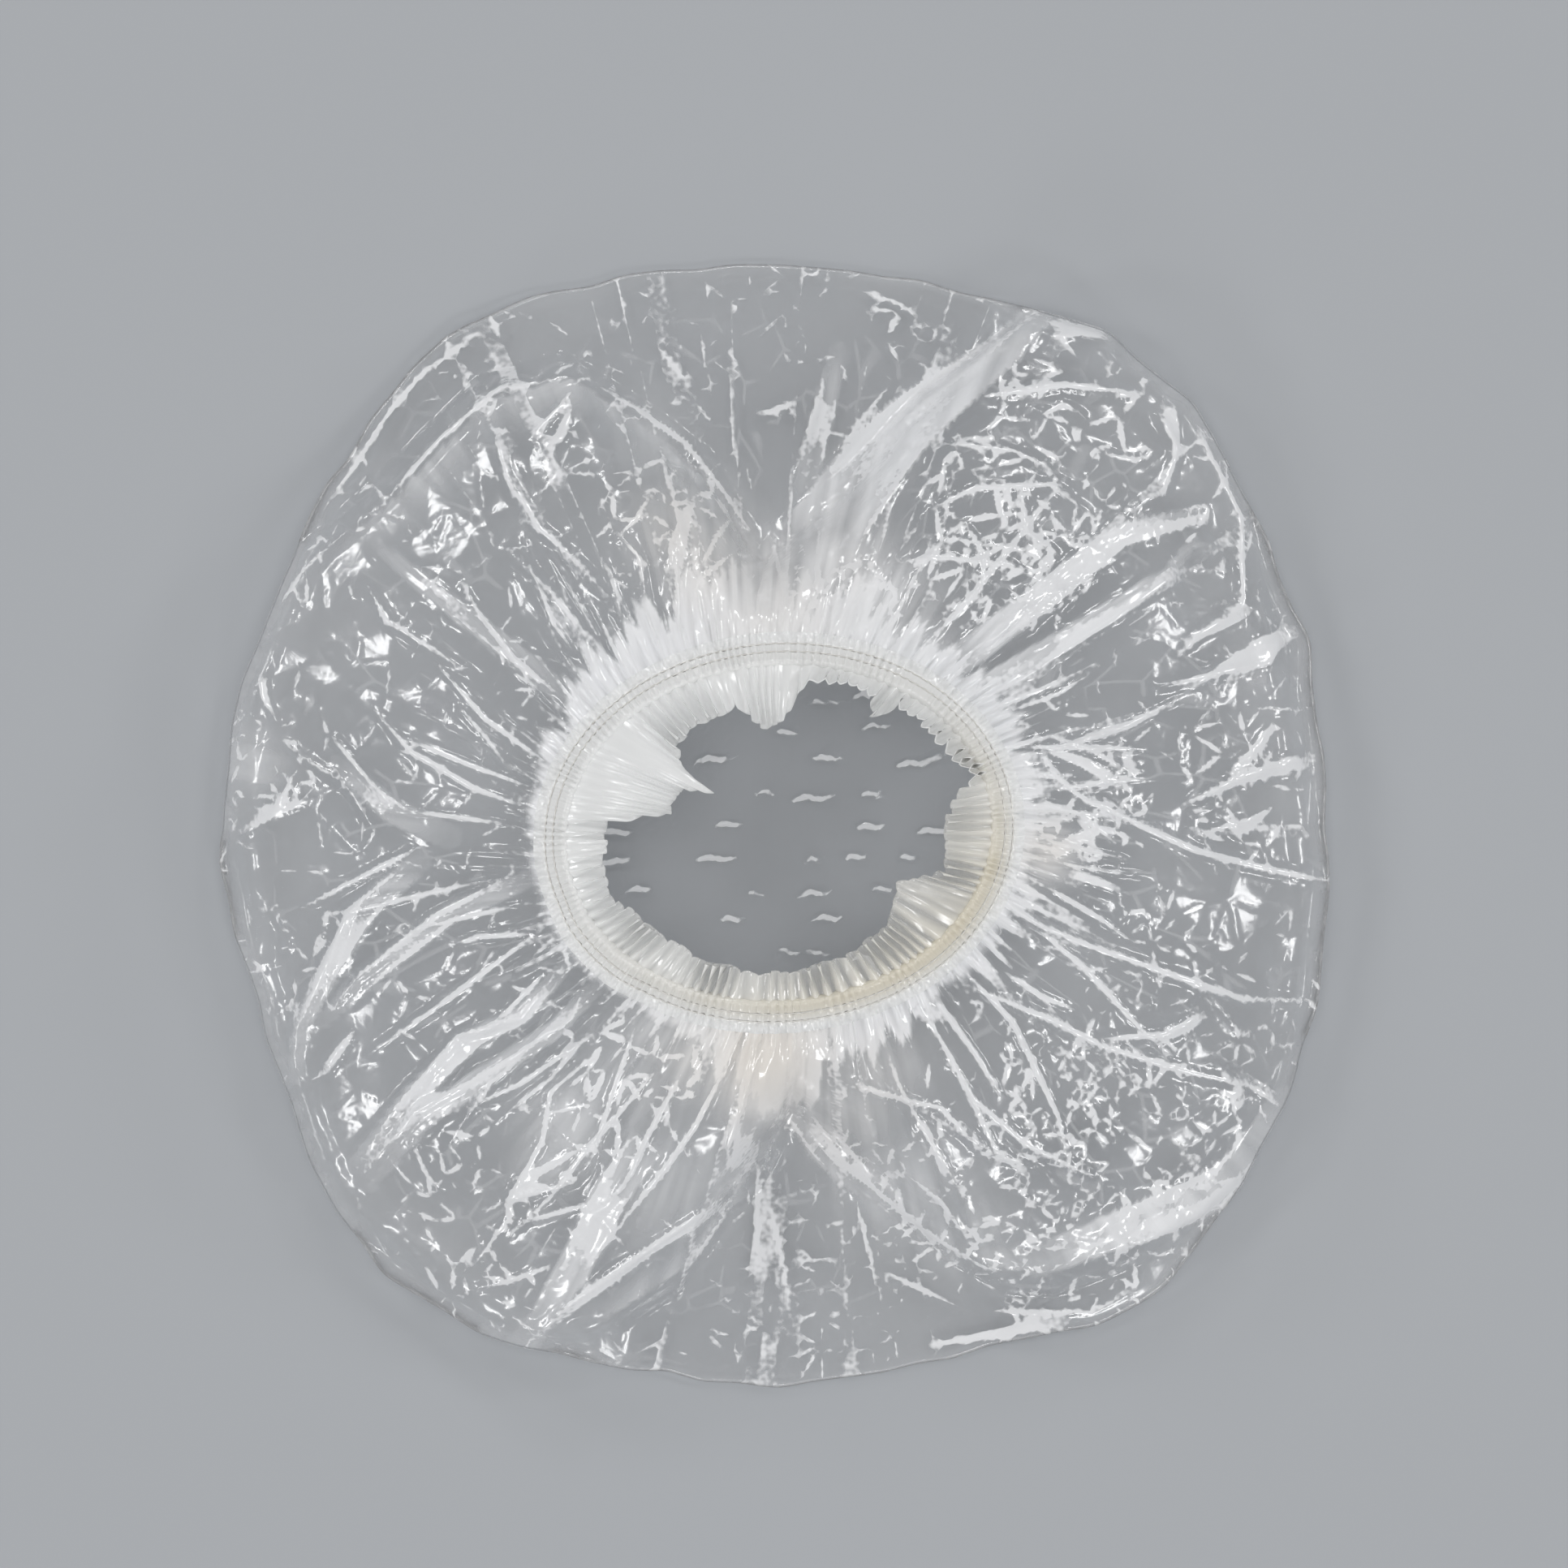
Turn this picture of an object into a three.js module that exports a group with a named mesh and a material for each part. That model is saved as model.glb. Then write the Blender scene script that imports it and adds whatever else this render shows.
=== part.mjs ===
import * as THREE from "three";
import { mergeVertices } from "three/addons/utils/BufferGeometryUtils.js";

// A clear film shower cap, lying on its crown with the gathered mouth upwards.
// Millimetres, +Z up. The origin is the middle of the footprint, on the table.

// Slack film, as it lies
const filmWidth = 273.4; // footprint along X
const filmLength = 280; // footprint along Y
const outlinePower = 2.4; // 2 is an ellipse, more is squarer
const filmWall = 0.6; // modelled wall: the real film is about 0.03

// The two puffed lobes, left and right, and the flat V valleys between them
const valleyReach = 68; // from the middle to the point of each V
const valleySpread = 0.92; // how far the V's sides run outwards for each mm sideways
const flangeHeight = 4; // top of the two flat layers out in the valleys
const valleyRoll = 12; // the film leaves the table this far inside the outline, in the valleys
const lobeRoll = 26; // the same at the lobes
const lobeRim = 9; // the lobe's shoulder lies this far inside the outline
const lobeShoulderHeight = 16;
const lobeEdgeHeight = 8; // height of the film's outermost fold at the lobes
const puffPower = 2.2; // how full the wall swells between shoulder and mouth

// Gathers
const pleatCount = 44; // folds round the wall, each a ridge and a furrow
const pleatDepth = 6; // ridge to furrow, where the folds are deepest
const pleatLean = 0.6; // 1 puts the deepest part half way down the wall, less brings it nearer the mouth
const edgeWave = 2.2; // how far the furrows draw in the outline
const hemPleat = 1.4; // ridge height where the film runs into the hem

// Mouth, measured along the middle of the elastic
const mouthWidth = 110;
const mouthLength = 88;
const mouthTurn = THREE.MathUtils.degToRad(5); // the oval's long axis, turned from X
const mouthOffsetX = 1.3;
const mouthOffsetY = -1;
const mouthHeight = 41;
const hemTilt = THREE.MathUtils.degToRad(35); // the hem leans, its frill edge high

// Elastic tape, hem, frill and stitching
const elasticWidth = 7;
const elasticThickness = 0.8;
const elasticLap = 14; // length over which the tape's two ends overlap
const lapRamp = 9; // length over which the upper end climbs over the lower one
const lapAngle = THREE.MathUtils.degToRad(205); // where the ends meet
const hemMargin = 1.2; // hem beyond the elastic's outer edge
const frillDepth = 7.5;
const frillRuffles = 88;
const frillRootWave = 0.5; // ruffle height at the hem
const frillEdgeWave = 3.6; // ruffle height at the free edge
const stitchRowSpacing = 2.4;
const stitchCount = 88;
const stitchDip = 0.25; // how far the thread sinks at each needle hole
const threadDiameter = 0.6;
const seamGap = 0.3; // clearance between pieces that lie on each other

// Worked out from the sizes above
const wallColumns = pleatCount * 2;
const elasticHalf = elasticThickness / 2;
const layerInner = elasticHalf + seamGap; // the hem's inner faces, from the elastic's middle
const layerOuter = layerInner + filmWall;
const hemOuterEdge = elasticWidth / 2 + hemMargin;
const hemFoldInner = -(elasticWidth / 2 + seamGap);
const hemFoldOuter = hemFoldInner - filmWall;
const frillRoot = hemFoldOuter - seamGap;
const frillEdge = frillRoot - frillDepth;
const filmStart = hemOuterEdge + seamGap;
const stitchRow = stitchRowSpacing / 2;
const lapClimb = elasticThickness + seamGap;
const threadRadius = threadDiameter / 2;
const threadLevel = layerOuter + seamGap + stitchDip + threadRadius;

const clearFilm = new THREE.MeshStandardMaterial({
  color: 0xe9eef0, roughness: 0.12, metalness: 0, transparent: true, opacity: 0.4,
});
const gatheredFilm = new THREE.MeshStandardMaterial({
  color: 0xf2f3ef, roughness: 0.25, metalness: 0, transparent: true, opacity: 0.75,
});
const knittedElastic = new THREE.MeshStandardMaterial({ color: 0xf4eedd, roughness: 0.9, metalness: 0 });
const polyesterThread = new THREE.MeshStandardMaterial({ color: 0xfaf9f5, roughness: 0.6, metalness: 0 });

function mesh(name, geometry, material) {
  const piece = new THREE.Mesh(geometry, material);
  piece.name = name;
  return piece;
}

function weld(geometry) {
  geometry.deleteAttribute("normal");
  geometry.deleteAttribute("uv");
  const welded = mergeVertices(geometry);
  welded.computeVertexNormals();
  return welded;
}

// Quads from firstRow on are split along their other diagonal, so a folded wall's two faces run side by side
function splitOtherWay(geometry, rows, firstRow) {
  const corners = 6;
  const index = geometry.getIndex();
  for (let start = 0; start < index.count; start += corners) {
    if ((start / corners) % (rows - 1) < firstRow) continue;
    const [a, b, d, c] = [0, 1, 2, 3].map((corner) => index.getX(start + corner));
    [a, b, c, a, c, d].forEach((vertex, corner) => index.setX(start + corner, vertex));
  }
}

// A revolved section whose every point is then set by place(angle, row, column), its inner face from innerRow on
function shapedRevolve(rows, columns, place, innerRow = rows) {
  const section = Array.from({ length: rows }, (_, row) => new THREE.Vector2(1, row));
  const geometry = new THREE.LatheGeometry(section, columns);
  splitOtherWay(geometry, rows, innerRow);
  const position = geometry.getAttribute("position");
  for (let step = 0; step <= columns; step += 1) {
    const column = step % columns;
    const angle = (column / columns) * Math.PI * 2;
    for (let row = 0; row < rows; row += 1) {
      const point = place(angle, row, column);
      position.setXYZ(step * rows + row, point.x, point.y, point.z);
    }
  }
  return weld(geometry);
}

const isRidge = (column) => column % 2 === 0;

// Folds are never alike: each keeps from 0.4 to 1 of the full depth
const foldShare = (column) => 0.7 + 0.3 * Math.cos((10 * Math.PI * column) / pleatCount);

// How far round the lap an angle lies, as a length along the elastic, from half a turn behind to half ahead
function lengthFromLap(angle) {
  const turn = Math.PI * 2;
  const ahead = (((angle - lapAngle + Math.PI) % turn) + turn) % turn - Math.PI;
  return (ahead * (mouthWidth + mouthLength)) / 4;
}

// The casing bulges over the doubled elastic
function lapBulge(angle) {
  const along = lengthFromLap(angle);
  const before = THREE.MathUtils.smoothstep(along, -lapRamp * 2, -lapRamp);
  const after = THREE.MathUtils.smoothstep(along, elasticLap + seamGap, elasticLap + lapRamp);
  return lapClimb * (before - after);
}

// A point of the hem's section: across is along the tape's width, outwards, and above is off its upper face
function hemPoint(angle, across, above) {
  const outwards = new THREE.Vector2(Math.cos(angle) / mouthWidth, Math.sin(angle) / mouthLength).normalize();
  const reach = across * Math.cos(hemTilt) + above * Math.sin(hemTilt);
  const plan = new THREE.Vector2(
    (mouthWidth / 2) * Math.cos(angle) + reach * outwards.x,
    (mouthLength / 2) * Math.sin(angle) + reach * outwards.y,
  );
  plan.rotateAround(new THREE.Vector2(), mouthTurn);
  return new THREE.Vector3(
    mouthOffsetX + plan.x,
    mouthOffsetY + plan.y,
    mouthHeight - across * Math.sin(hemTilt) + above * Math.cos(hemTilt),
  );
}

function outlineRadius(angle) {
  const x = Math.abs(Math.cos(angle) / (filmWidth / 2));
  const y = Math.abs(Math.sin(angle) / (filmLength / 2));
  return (x ** outlinePower + y ** outlinePower) ** (-1 / outlinePower);
}

// Distance to the lobe's shoulder, which the valleys cut back to the sides of their V
function shoulderRadius(angle) {
  const rim = outlineRadius(angle) - lobeRim;
  const opening = Math.abs(Math.sin(angle)) - valleySpread * Math.abs(Math.cos(angle));
  return opening > 0 ? Math.min(rim, valleyReach / opening) : rim;
}

// The outside of the film along one column, from the table out to the fold, over the shoulder and in to the mouth
const wallShares = [0.75, 0.45, 0.18];

function filmOutside(angle, column) {
  const ray = new THREE.Vector3(Math.cos(angle), Math.sin(angle), 0);
  const outline = outlineRadius(angle);
  const shoulder = shoulderRadius(angle);
  const valley = (outline - lobeRim - shoulder) / (outline - lobeRim - valleyReach);
  const onLobe = THREE.MathUtils.smoothstep(1 - valley, 0, 1);
  const fold = foldShare(column) * (isRidge(column) ? 1 : -1);
  const drawIn = isRidge(column) ? 0 : edgeWave * foldShare(column);

  const roll = THREE.MathUtils.lerp(valleyRoll, lobeRoll, onLobe);
  const edgeHeight = THREE.MathUtils.lerp(flangeHeight / 2, lobeEdgeHeight, onLobe);
  const shoulderHeight = THREE.MathUtils.lerp(flangeHeight, lobeShoulderHeight, onLobe);
  const start = hemPoint(angle, filmStart, layerOuter + lapBulge(angle) + (isRidge(column) ? hemPleat : 0));
  const shoulderPoint = ray.clone().multiplyScalar(shoulder).setZ(shoulderHeight);

  const wall = wallShares.map((share) => {
    const point = start.clone().lerp(shoulderPoint, share);
    point.z = THREE.MathUtils.lerp(start.z, shoulderHeight, share ** puffPower);
    point.z += (pleatDepth / 2) * fold * Math.sin(Math.PI * share ** pleatLean);
    return point;
  });
  return [
    ray.clone().multiplyScalar(outline - roll - drawIn),
    ray.clone().multiplyScalar(outline - drawIn).setZ(edgeHeight),
    shoulderPoint,
    ...wall,
    start,
  ];
}

// The same column moved in by the film's wall, each corner where its two moved sides meet
function filmInside(angle, outside) {
  const ray = new THREE.Vector3(Math.cos(angle), Math.sin(angle), 0);
  const middle = new THREE.Vector3();
  const squareTo = (from, to) => {
    const run = to.clone().sub(from);
    return new THREE.Vector2(-run.z, run.dot(ray)).normalize();
  };
  return outside.map((point, row) => {
    const before = squareTo(outside[row - 1] ?? middle, point);
    const after = row + 1 < outside.length ? squareTo(point, outside[row + 1]) : before;
    const inwards = before.clone().add(after).multiplyScalar(filmWall / (1 + before.dot(after)));
    const moved = point.clone().addScaledVector(ray, inwards.x);
    return moved.setZ(point.z + inwards.y);
  });
}

// One sheet: crown on the table, outer fold, puffed wall, ending where the hem starts
function crownFilm() {
  const columns = Array.from({ length: wallColumns }, (_, column) => {
    const angle = (column / wallColumns) * Math.PI * 2;
    const outside = filmOutside(angle, column);
    const inside = filmInside(angle, outside);
    const middle = new THREE.Vector3(0, 0, filmWall);
    return [new THREE.Vector3(), ...outside, ...inside.reverse(), middle];
  });
  const rows = columns[0].length;
  return shapedRevolve(rows, wallColumns, (angle, row, column) => columns[column][row], rows / 2);
}

// Film turned over the elastic: gathered outside the stitching, pressed flat under it, open at its outer edge
function hemCasing() {
  const section = [
    { across: hemOuterEdge, above: layerOuter, bulges: true, gathers: true },
    { across: stitchRow, above: layerOuter, bulges: true },
    { across: hemFoldOuter + filmWall / 2, above: layerOuter, bulges: true },
    { across: hemFoldOuter, above: layerInner, bulges: true },
    { across: hemFoldOuter, above: -layerInner },
    { across: hemFoldOuter + filmWall / 2, above: -layerOuter },
    { across: hemOuterEdge, above: -layerOuter },
    { across: hemOuterEdge, above: -layerInner },
    { across: hemFoldInner, above: -layerInner },
    { across: hemFoldInner, above: layerInner, bulges: true },
    { across: stitchRow, above: layerInner, bulges: true },
    { across: hemOuterEdge, above: layerInner, bulges: true, gathers: true },
  ];
  return shapedRevolve(section.length + 1, wallColumns, (angle, row, column) => {
    const corner = section[row % section.length];
    const bulge = corner.bulges ? lapBulge(angle) : 0;
    const gather = corner.gathers && isRidge(column) ? hemPleat : 0;
    return hemPoint(angle, corner.across, corner.above + bulge + gather);
  }, section.length / 2);
}

// The doubled film that stands free inside the elastic, ruffled more and more to its edge
function frill() {
  const middle = (frillRoot + frillEdge) / 2;
  const middleWave = (frillRootWave + frillEdgeWave) / 2;
  const upper = [
    { across: frillRoot, wave: frillRootWave },
    { across: middle, wave: middleWave },
    { across: frillEdge, wave: frillEdgeWave },
  ];
  const section = [
    ...upper.map((corner) => ({ ...corner, face: filmWall })),
    ...upper.reverse().map((corner) => ({ ...corner, face: -filmWall })),
  ];
  return shapedRevolve(section.length + 1, frillRuffles * 2, (angle, row, column) => {
    const corner = section[row % section.length];
    const ruffle = (corner.wave / 2) * (isRidge(column) ? 1 : -1);
    return hemPoint(angle, corner.across, corner.face + ruffle);
  }, section.length / 2);
}

// A flat tape bent round the mouth, whose end climbs over its start
function elasticBand() {
  const lapTurn = (elasticLap * 4) / (mouthWidth + mouthLength);
  const rampTurn = (lapRamp * 4) / (mouthWidth + mouthLength);
  const geometry = new THREE.BoxGeometry(1, 1, 1, wallColumns, 1, 1);
  const position = geometry.getAttribute("position");
  const corner = new THREE.Vector3();
  for (let index = 0; index < position.count; index += 1) {
    corner.fromBufferAttribute(position, index);
    const turned = (corner.x + 0.5) * (Math.PI * 2 + lapTurn);
    const climb = lapClimb * THREE.MathUtils.smoothstep(turned, Math.PI * 2 - rampTurn, Math.PI * 2);
    const point = hemPoint(lapAngle + turned, -corner.y * elasticWidth, corner.z * elasticThickness + climb);
    position.setXYZ(index, point.x, point.y, point.z);
  }
  return weld(geometry);
}

// A thread round the mouth, a lozenge in section, whose middle is set by route(angle, column)
function thread(route) {
  const sides = 4;
  return shapedRevolve(sides + 1, stitchCount * 2, (angle, row, column) => {
    const middle = route(angle, column);
    const side = ((row % sides) / sides) * Math.PI * 2;
    return hemPoint(
      angle,
      middle.across + threadRadius * Math.cos(side),
      middle.above + threadRadius * Math.sin(side),
    );
  });
}

// A needle thread lies along its row on top of the hem and dips at each hole
function needleThread(across) {
  return thread((angle, column) => ({
    across,
    above: threadLevel + lapBulge(angle) - (isRidge(column) ? stitchDip : 0),
  }));
}

// The looper thread crosses from row to row under the hem
function looperThread() {
  return thread((angle, column) => ({ across: isRidge(column) ? stitchRow : -stitchRow, above: -threadLevel }));
}

const cap = new THREE.Group();
cap.add(
  mesh("crown_film", crownFilm(), clearFilm),
  mesh("hem_casing", hemCasing(), gatheredFilm),
  mesh("frill", frill(), gatheredFilm),
  mesh("elastic_band", elasticBand(), knittedElastic),
  mesh("needle_thread_outer", needleThread(stitchRow), polyesterThread),
  mesh("needle_thread_inner", needleThread(-stitchRow), polyesterThread),
  mesh("looper_thread", looperThread(), polyesterThread),
);

export default cap;
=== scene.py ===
import math

import bmesh
import bpy
import numpy as np
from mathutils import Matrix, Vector
from mathutils.geometry import delaunay_2d_cdt


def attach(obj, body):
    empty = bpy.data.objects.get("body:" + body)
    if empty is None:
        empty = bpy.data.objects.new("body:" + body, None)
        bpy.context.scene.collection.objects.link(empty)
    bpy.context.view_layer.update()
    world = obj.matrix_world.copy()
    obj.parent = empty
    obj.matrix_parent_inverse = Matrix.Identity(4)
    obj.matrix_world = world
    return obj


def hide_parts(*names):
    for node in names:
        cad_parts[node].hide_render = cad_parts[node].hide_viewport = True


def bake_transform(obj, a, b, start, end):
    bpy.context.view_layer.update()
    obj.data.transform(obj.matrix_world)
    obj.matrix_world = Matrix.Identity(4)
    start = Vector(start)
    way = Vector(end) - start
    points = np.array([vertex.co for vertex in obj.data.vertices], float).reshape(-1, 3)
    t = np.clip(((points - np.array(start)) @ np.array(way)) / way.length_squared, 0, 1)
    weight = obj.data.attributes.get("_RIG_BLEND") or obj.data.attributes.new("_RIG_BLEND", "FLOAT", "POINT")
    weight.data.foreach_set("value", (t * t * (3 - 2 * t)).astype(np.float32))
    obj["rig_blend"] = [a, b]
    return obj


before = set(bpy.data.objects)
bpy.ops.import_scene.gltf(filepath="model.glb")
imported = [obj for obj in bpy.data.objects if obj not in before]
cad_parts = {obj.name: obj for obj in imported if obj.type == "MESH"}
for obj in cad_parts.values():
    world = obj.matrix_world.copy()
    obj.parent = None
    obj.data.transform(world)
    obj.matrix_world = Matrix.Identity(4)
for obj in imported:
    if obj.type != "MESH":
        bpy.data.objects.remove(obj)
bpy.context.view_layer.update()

scene = bpy.context.scene
mm = 0.001
turn = 2 * math.pi
sameSpot = 1e-6  # m, points of a mesh nearer than this are one


def addObject(name, data):
    made = bpy.data.objects.new(name, data)
    scene.collection.objects.link(made)
    return made


# Camera: straight down on the mouth, as the photograph was taken
photo = {
    "side": 1932,  # pixels
    "pixel": 0.2,  # mm, where the cap's middle height lies
    "middle": (953.5, 1020),  # pixel over the origin
    "height": 20,  # mm, the level that the scale is true at
    "distance": 1200,  # mm from the lens to that level
    "sensor": 36,  # mm
    "clip": (0.05, 20),  # m, the nearest and furthest that is drawn
}


def fromPhoto(route):  # pixels of the photograph to mm in plan
    spots = np.array(route, float)
    return (spots - photo["middle"]) * (photo["pixel"], -photo["pixel"])


def makeCamera():
    data = bpy.data.cameras.new("overhead_camera")
    camera = addObject("overhead_camera", data)
    aim = fromPhoto([(photo["side"] / 2, photo["side"] / 2)])[0]
    camera.location = (aim[0] * mm, aim[1] * mm, (photo["height"] + photo["distance"]) * mm)
    data.sensor_width = photo["sensor"]
    data.lens = photo["sensor"] * photo["distance"] / (photo["side"] * photo["pixel"])
    data.clip_start, data.clip_end = photo["clip"]
    scene.camera = camera


makeCamera()
print("camera set")


# Mouth: the oval that the elastic, hem, frill and threads follow, as in the CAD
mouth = {
    "width": 110,  # along the middle of the elastic
    "length": 88,
    "turn": math.radians(5),
    "offset": (1.3, -1.0),
    "height": 41,
    "tilt": math.radians(35),  # the hem leans, its frill edge high
    "lapAngle": math.radians(205),  # where the tape's ends lie over each other
    "lap": 14,
    "ramp": 9,
    "climb": 1.1,
}


def mouthPoint(angle, across, above):  # across is outwards over the tape's width, above is off its face
    cos, sin = np.cos(angle), np.sin(angle)
    outX, outY = cos / mouth["width"], sin / mouth["length"]
    size = np.hypot(outX, outY)
    reach = across * math.cos(mouth["tilt"]) + above * math.sin(mouth["tilt"])
    x = mouth["width"] / 2 * cos + reach * outX / size
    y = mouth["length"] / 2 * sin + reach * outY / size
    cosTurn, sinTurn = math.cos(mouth["turn"]), math.sin(mouth["turn"])
    z = mouth["height"] - across * math.sin(mouth["tilt"]) + above * math.cos(mouth["tilt"])
    return np.stack(np.broadcast_arrays(
        mouth["offset"][0] + x * cosTurn - y * sinTurn,
        mouth["offset"][1] + x * sinTurn + y * cosTurn,
        z,
    ), axis=-1)


def tapeTurn():  # radians to a mm of the tape's length
    return 4 / (mouth["width"] + mouth["length"])


def smooth(value, low, high):
    share = np.clip((value - low) / (high - low), 0, 1)
    return share * share * (3 - 2 * share)


def around(angle, spots):  # a value given at a few angles in degrees, carried evenly between them
    places = np.radians([place for place, value in spots])
    values = [value for place, value in spots]
    return np.interp(np.mod(angle, turn), places, values, period=turn)


def shortTurn(angle, place):  # from a place on the ring to an angle, the short way round
    return np.mod(angle - place + turn / 2, turn) - turn / 2


def lapBulge(angle):  # what lies over the tape's lap stands this much higher
    along = shortTurn(angle, mouth["lapAngle"]) / tapeTurn()
    rise = smooth(along, -mouth["ramp"], 0)
    fall = smooth(along, mouth["lap"], mouth["lap"] + mouth["ramp"])
    return mouth["climb"] * rise * (1 - fall)


def softened(ring, reach):  # a closed row of numbers, each averaged with its neighbours
    weights = np.hanning(2 * reach + 3)[1:-1]
    wrapped = np.concatenate([ring[-reach:], ring, ring[:reach]])
    return np.convolve(wrapped, weights / weights.sum(), "valid")


def jagged(angle, count, depth, dice):  # random steps round the ring
    knots = np.arange(count + 1) / count * turn
    return np.interp(angle, knots, np.resize(dice.uniform(-depth, depth, count), count + 1))


def splitAlong(bm, mark):  # each square is halved along the diagonal that a crease follows
    for face in list(bm.faces):
        if len(face.verts) == 4:
            first, second, third, fourth = face.verts
            if first[mark] + third[mark] > second[mark] + fourth[mark]:
                bmesh.utils.face_split(face, first, third)
            else:
                bmesh.utils.face_split(face, second, fourth)


# Sheets of the ring: a grid whose columns run round the mouth, every point laid where it belongs
def ringSheet(name, places, marks):
    rows, columns = places.shape[:2]
    bm = bmesh.new()
    bmesh.ops.create_grid(bm, x_segments=columns, y_segments=rows - 1, size=1)
    mesh = bpy.data.meshes.new(name)
    bm.to_mesh(mesh)
    flat = np.zeros(len(mesh.vertices) * 3)
    mesh.vertices.foreach_get("co", flat)
    flat = flat.reshape(-1, 3) / 2 + 0.5
    column = np.rint(flat[:, 0] * columns).astype(int) % columns
    row = np.rint(flat[:, 1] * (rows - 1)).astype(int)
    mesh.vertices.foreach_set("co", (places[row, column] * mm).ravel())
    for mark, values in marks.items():
        kind, field = ("FLOAT", "value") if values.ndim == 2 else ("FLOAT_VECTOR", "vector")
        layer = mesh.attributes.new(mark, kind, "POINT")
        layer.data.foreach_set(field, values[row, column].astype(np.float32).ravel())
    mesh.polygons.foreach_set("use_smooth", [True] * len(mesh.polygons))
    bm.clear()
    bm.from_mesh(mesh)
    bmesh.ops.remove_doubles(bm, verts=bm.verts, dist=sameSpot)  # closes the ring and the crown's middle
    if "crest" in marks:
        splitAlong(bm, bm.verts.layers.float["crest"])
    bm.to_mesh(mesh)
    bm.free()
    return addObject(name, mesh)


def smoothPiece(name, bm, places, rolled=False):  # a mesh whose points are laid along the mouth
    for vert, place in zip(bm.verts, places * mm):
        vert.co = place
    if rolled:  # a sheet rolled to a tube, closed along its seam and at both ends
        bmesh.ops.remove_doubles(bm, verts=bm.verts, dist=sameSpot)
        bmesh.ops.holes_fill(bm, edges=[edge for edge in bm.edges if edge.is_boundary], sides=0)
    bmesh.ops.recalc_face_normals(bm, faces=bm.faces)
    mesh = bpy.data.meshes.new(name)
    bm.to_mesh(mesh)
    bm.free()
    mesh.polygons.foreach_set("use_smooth", [True] * len(mesh.polygons))
    return addObject(name, mesh)


# Cap film: one disc of clear film, its crown on the table, folded over at the outline, drawn in to the mouth
film = {
    "columns": 720,
    "mouthRows": 31,  # of the crown, under the mouth
    "underMouth": 40,  # mm from the middle that they reach
    "crownRows": 4,
    "foldRows": 5,
    "wallRows": 98,
    "flatDiameter": 452,
    "lift": 0.25,  # the crown's film above the table
    "leastHeight": 0.9,  # of the upper film
    "outlineSoft": 4,  # columns that the drawn outline is averaged over
    "notches": 96,  # small random steps of the outline
    "notchDepth": 0.9,
    "notchSoft": 2,
    "shoulderSoft": 3,
    "shoulderIn": 0.8,  # of rollOver, the least that the shoulder lies inside the outline
    "edgeAcross": 4.7,  # where the film runs into the hem
    "edgeAbove": 1.3,
    "lobeShoulder": 16,
    "lobeEdge": 8,
    "lobeRoll": 26,
    "valleyShoulder": 4,
    "valleyEdge": 1.6,
    "valleyRoll": 5,
    "rollOver": 9,  # from the shoulder out to where the film turns under
    "puff": 2.2,
    "valleyReach": 66,
    "flange": 26,  # mm from shoulder to outline where the film between them lies flat
    "crestCore": 0.32,  # mm to each side of a crest where its mark is even
    "crestReach": 1.5,  # mm that the mark then takes to fade out
    "crestTaper": 0.36,
    "creaseEnds": (0.12, 0.2),  # shares of a crease that its height takes to rise and to fall
    "crestEnds": (-0.1, 0.3, 0.5),  # the same for its mark, and where both start
    "seed": 11,
}

# The outline, and the shoulder where the puffed lobes end, round from the top of the picture
outlineSpots = [
    (960, 322), (1090, 335), (1270, 380), (1367, 410), (1467, 493), (1510, 563), (1555, 657), (1592, 738),
    (1610, 775), (1625, 873), (1634, 960), (1637, 1100), (1622, 1236), (1587, 1363), (1554, 1423),
    (1510, 1489), (1439, 1587), (1345, 1637), (1148, 1681), (1044, 1703), (960, 1719), (787, 1692),
    (699, 1673), (638, 1664), (556, 1626), (474, 1571), (414, 1500), (381, 1440), (353, 1346), (315, 1237),
    (298, 1187), (282, 1116), (271, 1045), (271, 990), (287, 890), (305, 827), (345, 715), (376, 639),
    (421, 572), (470, 492), (505, 449), (581, 391), (648, 362), (773, 338), (885, 324),
]
shoulderSpots = [
    (950, 690), (1040, 610), (1121, 517), (1234, 431), (1275, 410), (1370, 432), (1440, 495), (1505, 640),
    (1575, 900), (1595, 1100), (1575, 1250), (1535, 1400), (1485, 1455), (1400, 1525), (1280, 1570),
    (1215, 1566), (1137, 1520), (1050, 1446), (949, 1370), (939, 1409), (900, 1460), (840, 1560), (740, 1625),
    (640, 1630), (440, 1470), (345, 1250), (310, 1010), (335, 820), (400, 690), (490, 610), (610, 490),
    (712, 462), (825, 535), (893, 590), (938, 676),
]

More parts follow.
